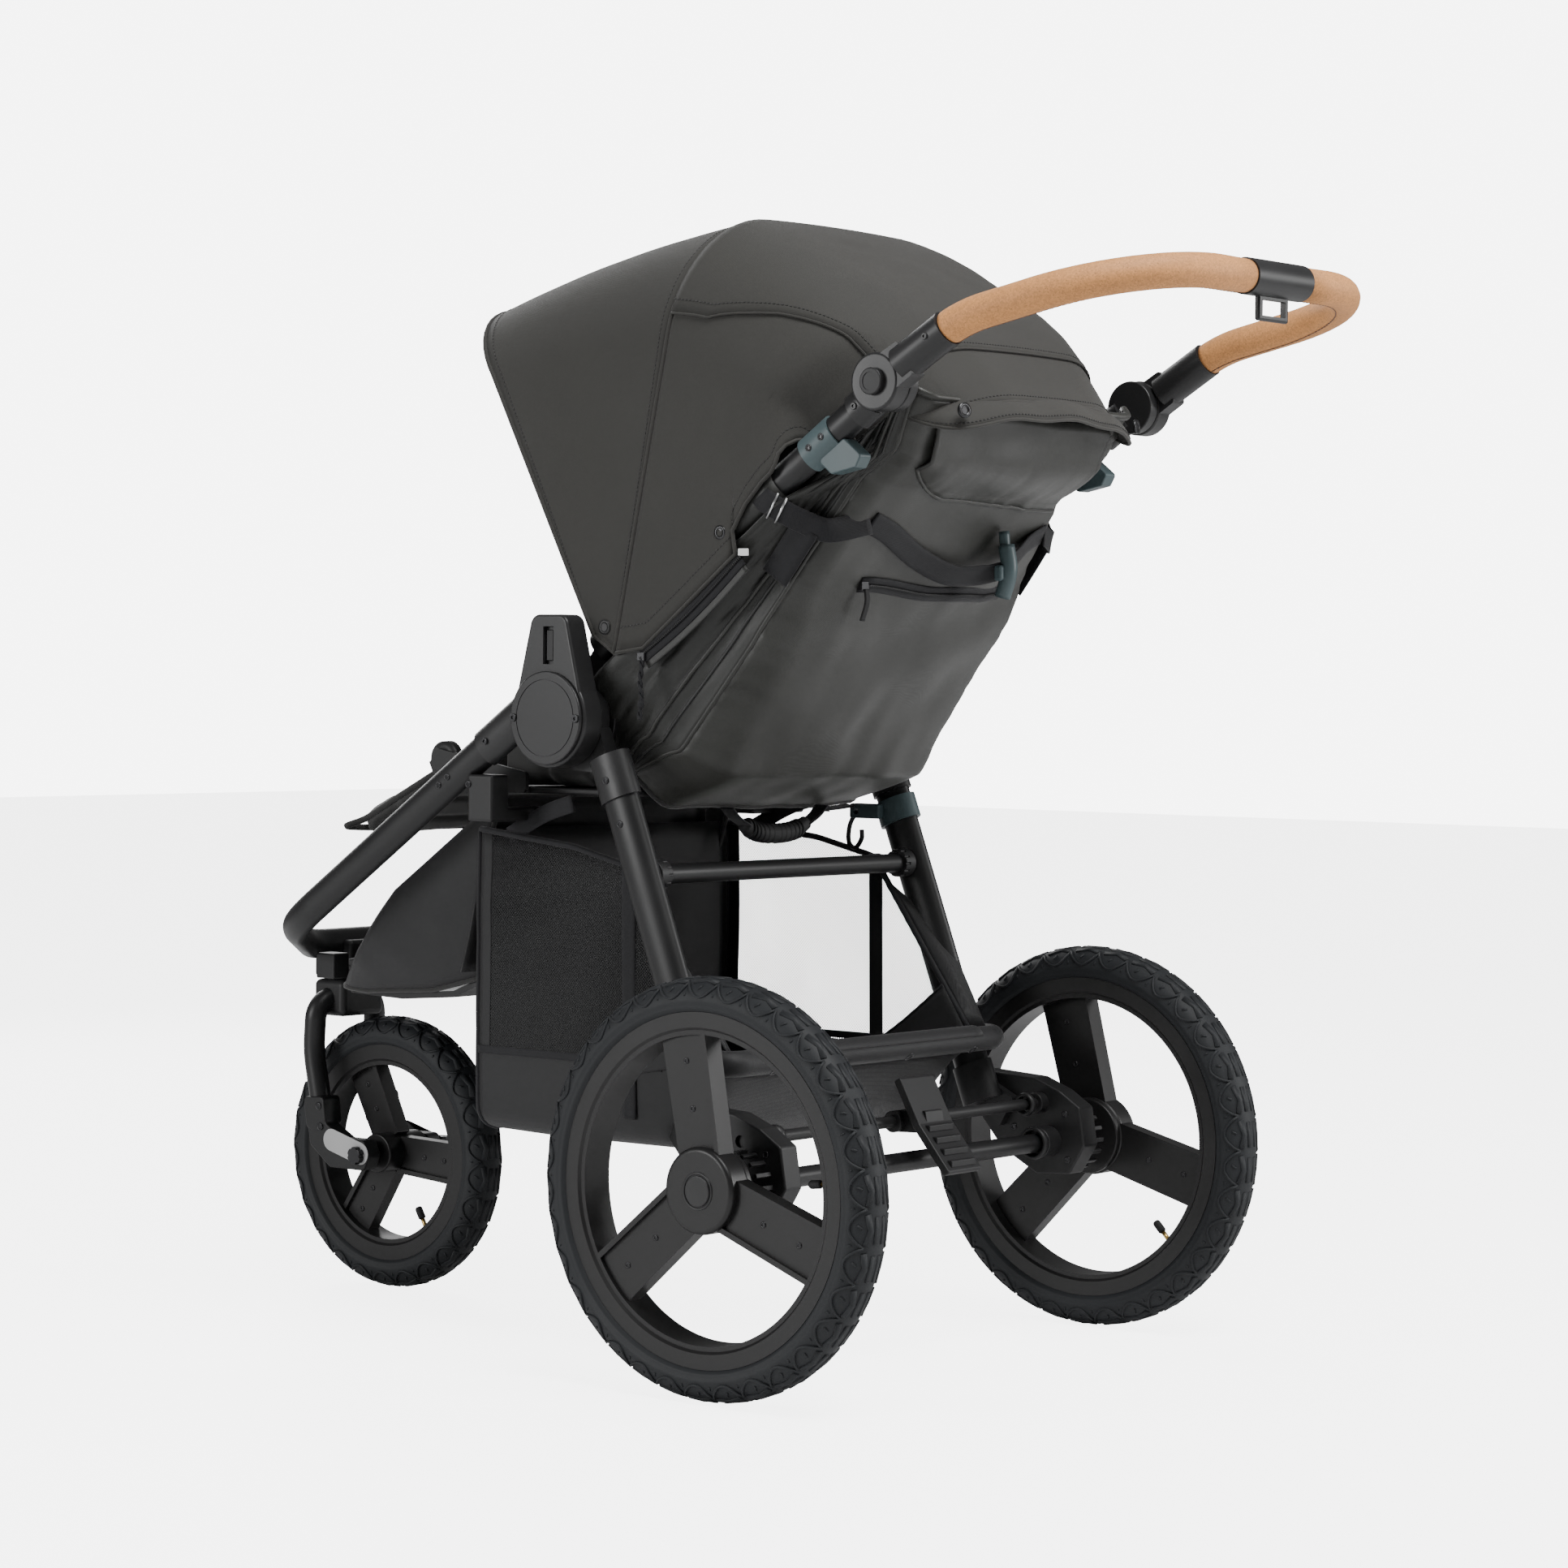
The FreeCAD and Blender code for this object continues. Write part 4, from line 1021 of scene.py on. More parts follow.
    def _ring_tree(self) -> bpy.types.NodeTree:
        """Copies of one shape, evenly around an axle along X.

        Returns:
            The tree.
        """
        g, entry = self._tree("copies around an axle", {"Count": 24, "Axle Y": 0.0, "Axle Z": 0.0})
        spots = g.add("GeometryNodePoints", {"Count": entry.outputs["Count"]})
        away = g.add("ShaderNodeCombineXYZ", {"Y": g.sum("MULTIPLY", entry.outputs["Axle Y"], -1.0),
                                              "Z": g.sum("MULTIPLY", entry.outputs["Axle Z"], -1.0)})
        back = g.add("ShaderNodeCombineXYZ", {"Y": entry.outputs["Axle Y"],
                                              "Z": entry.outputs["Axle Z"]})
        one = g.add("GeometryNodeTransform", {"Geometry": entry.outputs["Shape"],
                                              "Translation": away.outputs[0]})
        index = g.add("GeometryNodeInputIndex")
        step = g.sum("DIVIDE", 2 * math.pi, entry.outputs["Count"])
        angle = g.add("ShaderNodeCombineXYZ", {"X": g.sum("MULTIPLY", index.outputs[0], step)})
        turn = g.add("FunctionNodeEulerToRotation", {0: angle.outputs[0]})
        many = g.add("GeometryNodeInstanceOnPoints", {"Points": spots.outputs[0],
                                                      "Instance": one.outputs[0],
                                                      "Rotation": turn.outputs[0]})
        home = g.add("GeometryNodeTransform", {"Geometry": many.outputs[0],
                                               "Translation": back.outputs[0]})
        return self._close(g, entry, home.outputs[0])

    def make(self, tree: bpy.types.NodeTree, source: bpy.types.Object, kind: Finish,
             smooth: bool = True, **numbers: float) -> bpy.types.Object:
        """Run a tree on a source and keep the result as a plain mesh.

        Args:
            tree: one of this class's trees.
            source: mesh that the tree starts from.
            kind: finish of the result.
            smooth: whether the result is smooth shaded.
            numbers: the tree's inputs, with _ for a space.

        Returns:
            The source, now holding the result.
        """
        modifier = source.modifiers.new("maker", "NODES")
        modifier.node_group = tree
        values: dict = {k.replace("_", " "): v for k, v in numbers.items()}
        values["Finish"] = finish(kind)
        for item in tree.interface.items_tree:
            if item.in_out == "INPUT" and item.name in values:
                modifier[item.identifier] = values[item.name]
        settle(source)
        if smooth:
            for polygon in source.data.polygons:
                polygon.use_smooth = len(polygon.vertices) == 4
        return source


MAKER = Maker()


def stitches(name: str, points: Sequence, kind: Finish = Finish.THREAD, pitch: float = 0.0045,
             length: float = 0.003, radius: float = 0.00045) -> bpy.types.Object:
    """Row of stitches along a line of points.

    Args:
        name: piece's name.
        points: the line.
        kind: finish of the stitches.
        pitch: distance between them.
        length: length of one.
        radius: radius of one.

    Returns:
        The new piece.
    """
    line = [Vector(p) for p in points]
    source = new_piece(name, line, [], [(i, i + 1) for i in range(len(line) - 1)])
    return MAKER.make(MAKER.run, source, kind, Pitch=pitch, Length=length, Radius=radius, Sides=6)


def heads(name: str, spots: Sequence[tuple[Point, Point]], radius: float = 0.0038,
          height: float = 0.0016, recess: float = 0.0010, kind: Finish = Finish.DARK_STEEL,
          sides: int = 20) -> bpy.types.Object:
    """Screw heads at (point, outward direction) spots.

    Args:
        name: piece's name.
        spots: where they sit.
        radius: head's radius.
        height: how far it stands out.
        recess: depth of the driver's recess.
        kind: finish of the heads.
        sides: faces around.

    Returns:
        The new piece.
    """
    source = new_piece(name, [p for p, _ in spots], [])
    aim = source.data.attributes.new("aim", "FLOAT_VECTOR", "POINT")
    for i, (_, direction) in enumerate(spots):
        aim.data[i].vector = direction
    return MAKER.make(MAKER.heads, source, kind, Radius=radius, Height=height, Recess=recess,
                      Sides=sides)


def around(piece: bpy.types.Object, count: int, centre: Side, kind: Finish) -> bpy.types.Object:
    """Copies of a piece around an axle."""
    return MAKER.make(MAKER.ring, piece, kind, Count=count, Axle_Y=centre[0], Axle_Z=centre[1])


# ---------------------------------------------------------------- wheels

@dataclass
class Wheel:
    """One wheel: tyre with its tread, valve and screws."""
    name: str
    body: str
    x: float
    centre: Side
    radius: float
    bead: float
    width: float
    first_spoke: float
    valve_angle: float
    scallops: int = 34
    node_tyre: str = ""
    node_rim: str = ""
    wrap: float = 0.60
    roundness: float = 0.62
    chafer: float = 0.0105

    def surface(self, across: float) -> Side:
        """Tyre's outside at a share across from -1 to 1: (across, radius).

        Args:
            across: share of the way to a side.

        Returns:
            Distance from the wheel's middle plane, and radius.
        """
        high = self.radius - self.bead
        a = across * math.pi * self.wrap
        x = self.width / 2 * math.sin(a)
        r = self.radius - high * self.roundness + high * self.roundness * math.cos(a)
        return x, r

    def tyre(self) -> bpy.types.Object:
        """Carcass with shoulder grooves and the bead's rings.

        Returns:
            The carcass.
        """
        w = self.width / 2
        foot = self.bead + 0.0002
        profile = [(-w + self.chafer, foot)]
        for k in range(41):
            x, r = self.surface(-1 + k / 20)
            share = abs(-1 + k / 20)
            if 0.86 < share < 0.93:
                r += 0.0008
                x *= 0.975
            profile.append((x, r))
        profile.append((w - self.chafer, foot))
        profile = [(x, max(r, foot)) for x, r in profile]
        return dress(lathe(self.name + "_carcass", profile, self.x, self.centre, 160), Finish.TYRE)

    def strip(self, name: str, line: Sequence[Side], half: float, lift: float) -> bpy.types.Object:
        """Raised rib on the tyre.

        Args:
            name: piece's name.
            line: (angle in degrees, share across) points.
            half: half of the rib's width.
            lift: how far it stands up.

        Returns:
            The rib, to be repeated around the wheel.
        """
        rows = []
        count = len(line)
        for i, (degrees, share) in enumerate(line):
            ahead = line[min(i + 1, count - 1)]
            behind = line[max(i - 1, 0)]
            da = math.radians(ahead[0] - behind[0]) * self.radius
            ds = (ahead[1] - behind[1]) * self.width * 0.9
            length = math.hypot(da, ds) or 1.0
            row = []
            for side, up in ((-1.25, -0.0006), (-0.9, lift), (0.9, lift), (1.25, -0.0006)):
                angle = degrees - math.degrees(ds / length * half * side / self.radius)
                across = share + da / length * half * side / (self.width * 0.9)
                x, r = self.surface(across)
                lean = across * math.pi * self.wrap
                y, z = polar(self.centre, r + up * math.cos(lean), angle)
                row.append((self.x + x + up * math.sin(lean), y, z))
            rows.append(row)
        return outward(grid(name, rows, wrap=True, caps=True))

    def tread(self) -> bpy.types.Object:
        """Scalloped ribs on both shoulders, dashes and a ribbed crown.

        Returns:
            The tread, all around.
        """
        step = 360 / self.scallops
        pieces = []
        for side in (-1, 1):
            arc = [(step * (t / 12), side * (0.36 + 0.37 * math.sin(math.pi * t / 12) ** 0.75))
                   for t in range(13)]
            pieces.append(self.strip("arc", arc, 0.0011, 0.0018))
            tick = [(step * 0.5, side * 0.44), (step * 0.58, side * 0.55)]
            pieces.append(self.strip("tick", tick, 0.0010, 0.0010))
            cut = [(step * 0.02, side * 0.62), (step * 0.02, side * 0.70)]
            pieces.append(self.strip("cut", cut, 0.0008, 0.0008))
            lug = [(step * 0.08, side * 0.33), (step * 0.45, side * 0.24), (step * 0.86, side * 0.33)]
            pieces.append(self.strip("lug", lug, 0.0028, 0.0016))
            crown = [(step * 0.1, side * 0.10), (step * 0.8, side * 0.10)]
            pieces.append(self.strip("crown", crown, 0.0022, 0.0012))
        one = join(self.name + "_tread", pieces)
        return around(one, self.scallops, self.centre, Finish.TYRE)

    def valve(self) -> bpy.types.Object:
        """Brass stem with a black cap, standing in from the rim.

        Returns:
            The valve.
        """
        def at(r: float) -> Point:
            y, z = polar(self.centre, r, self.valve_angle)
            return self.x, y, z
        edge = self.bead - 0.019
        stem = sweep("stem", [at(edge), at(edge - 0.016)], circle(0.0024, 14))
        nut = sweep("nut", [at(edge), at(edge - 0.004)], circle(0.0045, 6))
        cap = sweep("cap", [at(edge - 0.014), at(edge - 0.0155), at(edge - 0.026), at(edge - 0.028)],
                    circle(0.0042, 16), size=lambda t: 0.75 if t in (0.0, 1.0) else 1.0)
        return join(self.name + "_valve", [dress(stem, Finish.BRASS), dress(nut, Finish.BRASS),
                                           dress(cap, Finish.RUBBER)])

    def screws(self, faces: Sequence[tuple[float, int]], reach: Sequence[float]) -> bpy.types.Object:
        """Small screws on the spokes, on each (x, direction) face.

        Args:
            faces: (x, direction) of each face.
            reach: distances from the axle.

        Returns:
            The screws.
        """
        spots = []
        for k in range(3):
            angle = self.first_spoke + 120 * k
            for r in reach:
                y, z = polar(self.centre, r, angle)
                spots += [((x, y, z), (direction, 0, 0)) for x, direction in faces]
        return heads(self.name + "_screws", spots, 0.0030, 0.0012, 0.0008, Finish.DARK_STEEL, 14)

    def build(self, faces: Sequence[tuple[float, int]], reach: Sequence[float]) -> None:
        """Make every piece of the wheel.

        Args:
            faces: (x, direction) of each face with screws.
            reach: the screws' distances from the axle.
        """
        tyre = join(self.name + "_tyre", [self.tyre(), self.tread()])
        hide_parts(self.node_tyre)
        place(tyre, self.body, "tyre")
        place(self.valve(), self.body, "wheel_black")
        place(self.screws(faces, reach), self.body, "wheel_black")
        dress_nodes(Finish.WHEEL, self.node_rim)


@dataclass
class RearHub:
    """Trim between a rear wheel and its housing."""
    side: int
    label: str
    drum_x: float = 0.267
    rib_long: float = 0.022
    rib_half: float = 0.0022
    rib_reach: Side = (0.0295, 0.0335)
    ribs: int = 16

    def build(self) -> None:
        """Ribbed drum collar and the ring around the button."""
        x = self.side * (TRACK / 2)
        inner = self.side * self.drum_x
        outer = inner + self.side * self.rib_long
        rib = box("rib", (min(inner, outer), REAR_AXLE[0] + self.rib_reach[0],
                          REAR_AXLE[1] - self.rib_half),
                  (max(inner, outer), REAR_AXLE[0] + self.rib_reach[1],
                   REAR_AXLE[1] + self.rib_half), 0.0006)
        ribs = around(rib, self.ribs, REAR_AXLE, Finish.PLASTIC)
        ribs.name = f"drum_ribs_{self.label}"
        place(ribs, f"rear_wheel_{self.label}", "wheel_black")
        face = x + self.side * 0.023
        ring = lathe(f"hub_ring_{self.label}",
                     [(self.side * -0.0005, 0.0158), (self.side * 0.0008, 0.0162),
                      (self.side * 0.0010, 0.0180), (self.side * -0.0005, 0.0186)],
                     face, REAR_AXLE, 64)
        place(dress(ring, Finish.SOFT_PLASTIC), f"rear_wheel_{self.label}", "wheel_black")
        dress_nodes(Finish.SOFT_PLASTIC, f"wheel_button_{self.label}")


# ---------------------------------------------------------------- frame

@dataclass
class Tubing:
    """Metal tubes and moulded joints that keep their CAD shapes."""
    leg_face: float = 0.2385
    clip_face: float = 0.2350
    clip_screw: float = 0.112
    rail_face: float = 0.2215
    tube_face: float = 0.2552
    bracket_face: float = 0.2545
    fork_face: float = 0.0606

    def build(self) -> None:
        """Give every carried-over node its finish."""
        dress_nodes(Finish.FRAME, "front_frame_tube", "rail_left", "rail_right", "rear_leg_left",
                    "rear_leg_right", "cross_tube", "axle_tube", "handle_tube", "fork_leg_left",
                    "fork_leg_right", "canopy_mid_bow", "canopy_front_bow")
        dress_nodes(Finish.SOFT_PLASTIC, "hub_housing_left", "hub_housing_right", "leg_collars",
                    "rail_head_left", "rail_head_right", "handle_socket_left",
                    "handle_socket_right", "handle_clasp", "hub_covers")
        dress_nodes(Finish.PLASTIC, "head_bracket", "footrest_tray", "seat_brackets", "seat_board",
                    "cross_tube_caps", "axle_housing_left", "axle_housing_right", "fork_crown",
                    "fork_dropouts", "handle_button_left", "handle_button_right", "brake_pedal")
        dress_nodes(Finish.TEAL, "trigger_left", "trigger_right", "leg_clip")
        dress_nodes(Finish.DARK_STEEL, "hub_screws", "front_axle", "quick_release")

    def screws(self) -> None:
        """Screws along the tubes, one piece for each body."""
        legs, rails, chassis, fork = [], [], [], []
        for side in (-1, 1):
            for t in (0.066, self.clip_screw, 0.400):
                y, z = on_leg(t)
                face = self.clip_face if t == self.clip_screw else self.leg_face
                legs.append(((side * face, y, z), (side, 0, 0)))
            for s in (0.400, 0.418):
                y, z = along(s, RAIL_OFFSET)
                rails.append(((side * self.rail_face, y, z), (side, 0, 0)))
            for s in (-0.150, -0.165):
                y, z = along(s, 0.028)
                chassis.append(((side * self.tube_face, y, z), (side, 0, 0)))
            chassis.append(((side * self.bracket_face, -0.155, 0.578), (side, 0, 0)))
            for y, z in ((-0.566, 0.203), (-0.563, 0.180)):
                fork.append(((side * self.fork_face, y, z), (side, 0, 0)))
        place(heads("leg_screws", legs, 0.0036, 0.0016), "rear_frame", "screw")
        place(heads("tube_screws", chassis, 0.0036, 0.0016), "chassis", "screw")
        place(heads("fork_rivets", fork, 0.0042, 0.0018, 0.0004), "fork", "screw")
        for side, label in SIDES:
            own = [spot for spot in rails if spot[0][0] * side > 0]
            place(heads(f"trigger_screws_{label}", own, 0.0034, 0.0014), f"trigger_{label}", "screw")

    def hub_trim(self) -> None:
        """Tower inlays and the fork's plain label."""
        for side, label in SIDES:
            x = side * 0.2502
            inlay = box(f"tower_inlay_{label}", (min(x, x + side * 0.0035), -0.0495, 0.7045),
                        (max(x, x + side * 0.0035), -0.0405, 0.7355), 0.001)
            place(dress(inlay, Finish.PLASTIC), "chassis", "plastic_black")
            plate = slab(f"axle_label_{label}", self.obround((-0.545, 0.1665), (-0.500, 0.1545), 0.0125),
                         side * 0.0602, side * 0.0609, 0.0002)
            place(dress(plate, Finish.LABEL if side > 0 else Finish.PLASTIC), "fork",
                  "plastic_black")

    @staticmethod
    def obround(a: Side, b: Side, radius: float) -> list[Side]:
        """Outline with two round ends.

        Args:
            a: centre of one end.
            b: centre of the other.
            radius: radius of the ends.

        Returns:
            Points of the outline.
        """
        lean = math.degrees(math.atan2(b[1] - a[1], b[0] - a[0]))
        return ([polar(b, radius, lean - 90 + 18 * k) for k in range(11)]
                + [polar(a, radius, lean + 90 + 18 * k) for k in range(11)])


# ---------------------------------------------------------------- handle

@dataclass
class Handle:
    """Cork sleeves with their seams."""
    tube_x: float = 0.221
    radius: float = 0.0165
    bar_z: float = 1.0697
    back_y: float = 0.639
    rise: float = 31.0
    lower_bend: float = 0.160
    upper_bend: float = 0.125
    clasp_x: float = 0.0485

    @staticmethod
    def bend(a: Vector, corner: Vector, b: Vector, radius: float) -> list[Vector]:
        """Points of the round bend that joins two straight runs.

        Args:
            a: a point on the run before.
            corner: where the runs would meet.
            b: a point on the run after.
            radius: the bend's radius.

        Returns:
            Points from the bend's start to its end.
        """
        back, ahead = (a - corner).normalized(), (b - corner).normalized()
        half = back.angle(ahead) / 2
        reach = radius / math.tan(half)
        middle = corner + (back + ahead).normalized() * (radius / math.sin(half))
        start, end = corner + back * reach, corner + ahead * reach
        return [middle + (start.lerp(end, k / 16) - middle).normalized() * radius
                for k in range(17)]

    def centre_line(self, side: int) -> list[Vector]:
        """Middle of one cork sleeve, from its socket to the clasp.

        Args:
            side: 1 for left, -1 for right.

        Returns:
            Points of the line.
        """
        start = Vector((side * self.tube_x, *polar(HANDLE_PIVOT, 0.0925, self.rise)))
        knee = Vector((side * self.tube_x, *polar(HANDLE_PIVOT, 0.110, self.rise)))
        far = Vector((side * (self.tube_x - 0.006), self.back_y, self.bar_z))
        end = Vector((side * self.clasp_x, self.back_y, self.bar_z))
        low = Vector((knee.x, *polar(HANDLE_PIVOT, 0.036, self.rise)))
        line = self.bend(low, knee, far, self.lower_bend) + self.bend(knee, far, end, self.upper_bend)
        arm = (knee - low).normalized()
        kept = [p for p in line if (p - start).dot(arm) > 0.001]
        return [start] + kept + [end]

    def build(self) -> None:
        """Sleeves, seams and stitches."""
        for side, label in SIDES:
            line = self.centre_line(side)
            count = len(line)

            def swell(t: float) -> float:
                """Rounded ends of the sleeve."""
                return 0.965 if t < 0.5 / count or t > 1 - 0.5 / count else 1.0
            sleeve = sweep(f"cork_{label}", line, circle(self.radius, 40), size=swell)
            dress(sleeve, Finish.CORK)
            rows = frames(line)
            inner = []
            for p, (t, _, _) in zip(line, rows):
                aim = Vector((-side * 0.25, -0.35, -0.9))
                aim = (aim - t * aim.dot(t)).normalized()
                inner.append(p + aim * (self.radius + 0.0001))
            groove = sweep(f"cork_seam_{label}", inner, circle(0.0005, 6))
            dress(groove, Finish.TAN_THREAD)
            thread = stitches(f"cork_stitch_{label}", inner, Finish.TAN_THREAD, 0.006, 0.0035, 0.0007)
            piece = join(f"cork_grip_{label}", [sleeve, groove, thread])
            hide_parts(f"grip_{label}")
            place(piece, "handlebar", "cork")


# ---------------------------------------------------------------- canopy

@dataclass
class Canopy:
    """Two curved cloth panels over hoops, with flaps, seams and snaps."""
    half: float = 0.2262
    front_angle: float = 122.5
    mid_angle: float = 76.0
    rear_turn: float = 46.0
    blend_reach: float = 0.38
    columns: int = 96

    def front_rows(self) -> list[list[Vector]]:
        """Front panel from its hem to the middle bow.

        Returns:
            Rows of points.
        """
        rows = []
        for k in range(25):
            t = k / 24
            angle = lerp(self.front_angle, self.mid_angle, t)
            top = lerp(0.3835, 0.4118, t)
            corner = lerp(0.080, 0.110, t)
            foot = (self.half, lerp(-0.010, 0.017, t), lerp(0.7300, 0.7125, t))
            row = self.edge_row(foot, angle, top, self.half, corner)
            sag = math.sin(math.pi * t)
            off_middle = math.cos(math.radians(angle - lerp(self.front_angle, self.mid_angle, 0.5)))
            flatten = math.cos(math.radians(23.2)) / off_middle
            out = []
            for i, p in enumerate(row):
                u = abs(1 - 2 * i / self.columns)
                centre = Vector((p.x, *CANOPY_PIVOT))
                near = ease((p - centre).length / 0.1)
                q = centre + (p - centre) * lerp(1.0, flatten, 0.75 * near)
                inward = Vector((math.copysign(1, p.x), 0, 0)) * (-0.006 * sag * ease(u * 2 - 0.6))
                q += inward * ease((p - centre).length / 0.16)
                out.append(q)
            rows.append(out)
        return rows

    def edge_row(self, foot: Sequence[float], angle: float, top: float, half: float,
                 corner: float, crown: float = 0.008) -> list[Vector]:
        """Cross line that starts at a point of the lower edge instead of on the hoop's plane.

        Args:
            foot: (x, y, z) of the edge on the left.
            angle: plane of the shoulders and crown, degrees.
            top: distance of the crown from the pivot.
            half: half of the width at the shoulders.
            corner: shoulder radius.
            crown: how much the crown bows up.

        Returns:
            Evenly spread points from the left edge to the right one.
        """
        line = [Vector(foot).lerp(Vector((half, *polar(CANOPY_PIVOT, top - corner, angle))), k / 24)
                for k in range(24)]
        for k in range(25):
            a = math.pi / 2 * k / 24
            x, r = half - corner + corner * math.cos(a), top - corner + corner * math.sin(a)
            line.append(Vector((x, *polar(CANOPY_PIVOT, r + crown * (1 - (x / half) ** 2), angle))))
        for k in range(1, 17):
            x = (half - corner) * (1 - k / 16)
            line.append(Vector((x, *polar(CANOPY_PIVOT, top + crown * (1 - (x / half) ** 2), angle))))
        return self.spread(line + [Vector((-p.x, p.y, p.z)) for p in reversed(line[:-1])])

    def spread(self, line: Sequence[Vector]) -> list[Vector]:
        """The same line as evenly spaced points.

        Args:
            line: uneven points.

        Returns:
            Evenly spaced points.
        """
        reach = [0.0]
        for a, b in zip(line, line[1:]):
            reach.append(reach[-1] + (b - a).length)
        out, i = [], 0
        for k in range(self.columns + 1):
            want = reach[-1] * k / self.columns
            while i < len(line) - 2 and reach[i + 1] < want:
                i += 1
            span = reach[i + 1] - reach[i]
            out.append(line[i].lerp(line[i + 1], min((want - reach[i]) / span, 1.0)))
        return out

    def rear_stations(self) -> list[tuple[float, ...]]:
        """(turn, top, half, corner, edge x, edge y, edge z) from the bow to the rear hem.

        Returns:
            One row for each station.
        """
        return [(0.0, 0.4118, 0.2262, 0.110, 0.2262, 0.0170, 0.7125),
                (4.0, 0.4100, 0.2262, 0.111, 0.2268, 0.0557, 0.7180),
                (9.0, 0.4080, 0.2262, 0.112, 0.2270, 0.1130, 0.7620),
                (15.0, 0.4062, 0.2262, 0.113, 0.2270, 0.1730, 0.8090),
                (18.0, 0.4062, 0.2262, 0.114, 0.2268, 0.1690, 0.8320),
                (22.0, 0.4075, 0.2262, 0.114, 0.2264, 0.1850, 0.8580),
                (25.0, 0.4090, 0.2255, 0.113, 0.2264, 0.2050, 0.8790),
                (27.5, 0.4105, 0.2230, 0.112, 0.2262, 0.2190, 0.8900),
                (29.5, 0.4125, 0.2190, 0.111, 0.2250, 0.2270, 0.9120),
                (31.5, 0.4150, 0.2110, 0.110, 0.2060, 0.2380, 0.9220),
                (34.0, 0.4190, 0.2010, 0.110, 0.1890, 0.2480, 0.9140),
                (40.0, 0.4260, 0.1860, 0.114, 0.1860, 0.2640, 0.9000),
                (46.0, 0.4320, 0.1780, 0.118, 0.1790, 0.2850, 0.8980)]

    def rear_rows(self) -> list[list[Vector]]:
        """Rear panel from the middle bow to the hem over the seat's top.

        Returns:
            Rows of points.
        """
        table = self.rear_stations()
        rows = []
        for k in range(47):
            turn = self.rear_turn * k / 46
            top, half, corner, x, y, z = (read(table, turn, c) for c in range(1, 7))
            row = self.edge_row((x, y, z), self.mid_angle - turn, top, half, corner)
            out = []
            for p in row:
                away = p - Vector((p.x * 0.4, *CANOPY_PIVOT))
                wave = crease(p, 11.0, 0.0022, 3.0) * math.sin(math.pi * min(k / 33, 1.0))
                out.append(p + away.normalized() * wave)
            rows.append(out)
        return rows

    @staticmethod
    def offset(rows: Sequence[Sequence[Vector]], amount: float) -> list[list[Vector]]:
        """The same rows moved outwards along their normals.

        Args:
            rows: rows of points.
            amount: how far they move.

        Returns:
            The moved rows.
        """
        out = []
        for j, row in enumerate(rows):
            ahead = rows[min(j + 1, len(rows) - 1)]
            behind = rows[max(j - 1, 0)]
            line = []
            for i, p in enumerate(row):
                a = row[min(i + 1, len(row) - 1)] - row[max(i - 1, 0)]
                b = ahead[i] - behind[i]
                n = a.cross(b)
                centre = Vector((0, *CANOPY_PIVOT))
                n = n.normalized() if n.length else Vector((0, 0, 1))
                if n.dot(p - centre) < 0:
                    n = -n
                line.append(p + n * amount)
            out.append(line)
        return out

    def panel(self, name: str, rows: Sequence[Sequence[Vector]]) -> bpy.types.Object:
        """Cloth sheet with a lining on its inside.

        Args:
            name: piece's name.
            rows: rows of points.

        Returns:
            The new piece.
        """
        piece = grid(name, rows)
        thicken(piece, 0.0018)
        dress(piece, Finish.CANOPY, Finish.CANOPY_LINING)
        for polygon in piece.data.polygons:
            centre = polygon.center
            away = centre - Vector((0, *CANOPY_PIVOT))
            polygon.material_index = 1 if polygon.normal.dot(away) < 0 else 0
            polygon.use_smooth = True
        return piece

    def edge(self, name: str, line: Sequence[Vector], radius: float,
             kind: Finish = Finish.CANOPY) -> bpy.types.Object:
        """Piped edge along a line."""
        return dress(sweep(name, line, circle(radius, 10)), kind)

    def build_front(self) -> None:
        """Front panel with its piped hem, bound bow seam, tip edges and stitches."""
        rows = self.front_rows()
        panel = self.panel("cloth", rows)
        hem = self.edge("hem", rows[0], 0.0027)
        skin = self.offset(rows, 0.0010)
        seams = [stitches("hem_stitch", skin[1]), stitches("seam_stitch", skin[-2])]
        bound = self.edge("bow_seam", self.offset(rows, 0.0008)[-1], 0.0022)
        tips = [self.edge("tip_edge", [row[side] for row in rows], 0.0020) for side in (0, -1)]
        piece = join("canopy_front", [panel, hem, bound] + tips + seams)
        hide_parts("canopy_front_panel")
        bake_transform(piece)
        log.info("canopy_front spans two hoops")

    def build_rear(self) -> None:
        """Rear panel with the window flap's seams and the hem over the seat."""
        rows = self.rear_rows()
        panel = self.panel("cloth", rows)
        hem = self.edge("hem", rows[-1], 0.0022)
        skin = self.offset(rows, 0.0010)
        parts = [panel, hem, stitches("hem_stitch", self.offset(rows, 0.0012)[-2])]
        for side in (0, -1):
            parts.append(self.edge("side_edge", [row[side] for row in rows], 0.0020))
            inner = 2 if side == 0 else -3
            parts.append(stitches("side_stitch", [row[inner] for row in skin]))
        parts.append(self.window_flap(rows))
        piece = join("canopy_rear", parts)
        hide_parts("canopy_rear_panel")
        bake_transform(piece)
        log.info("canopy_rear spans the bow and the seat's top")

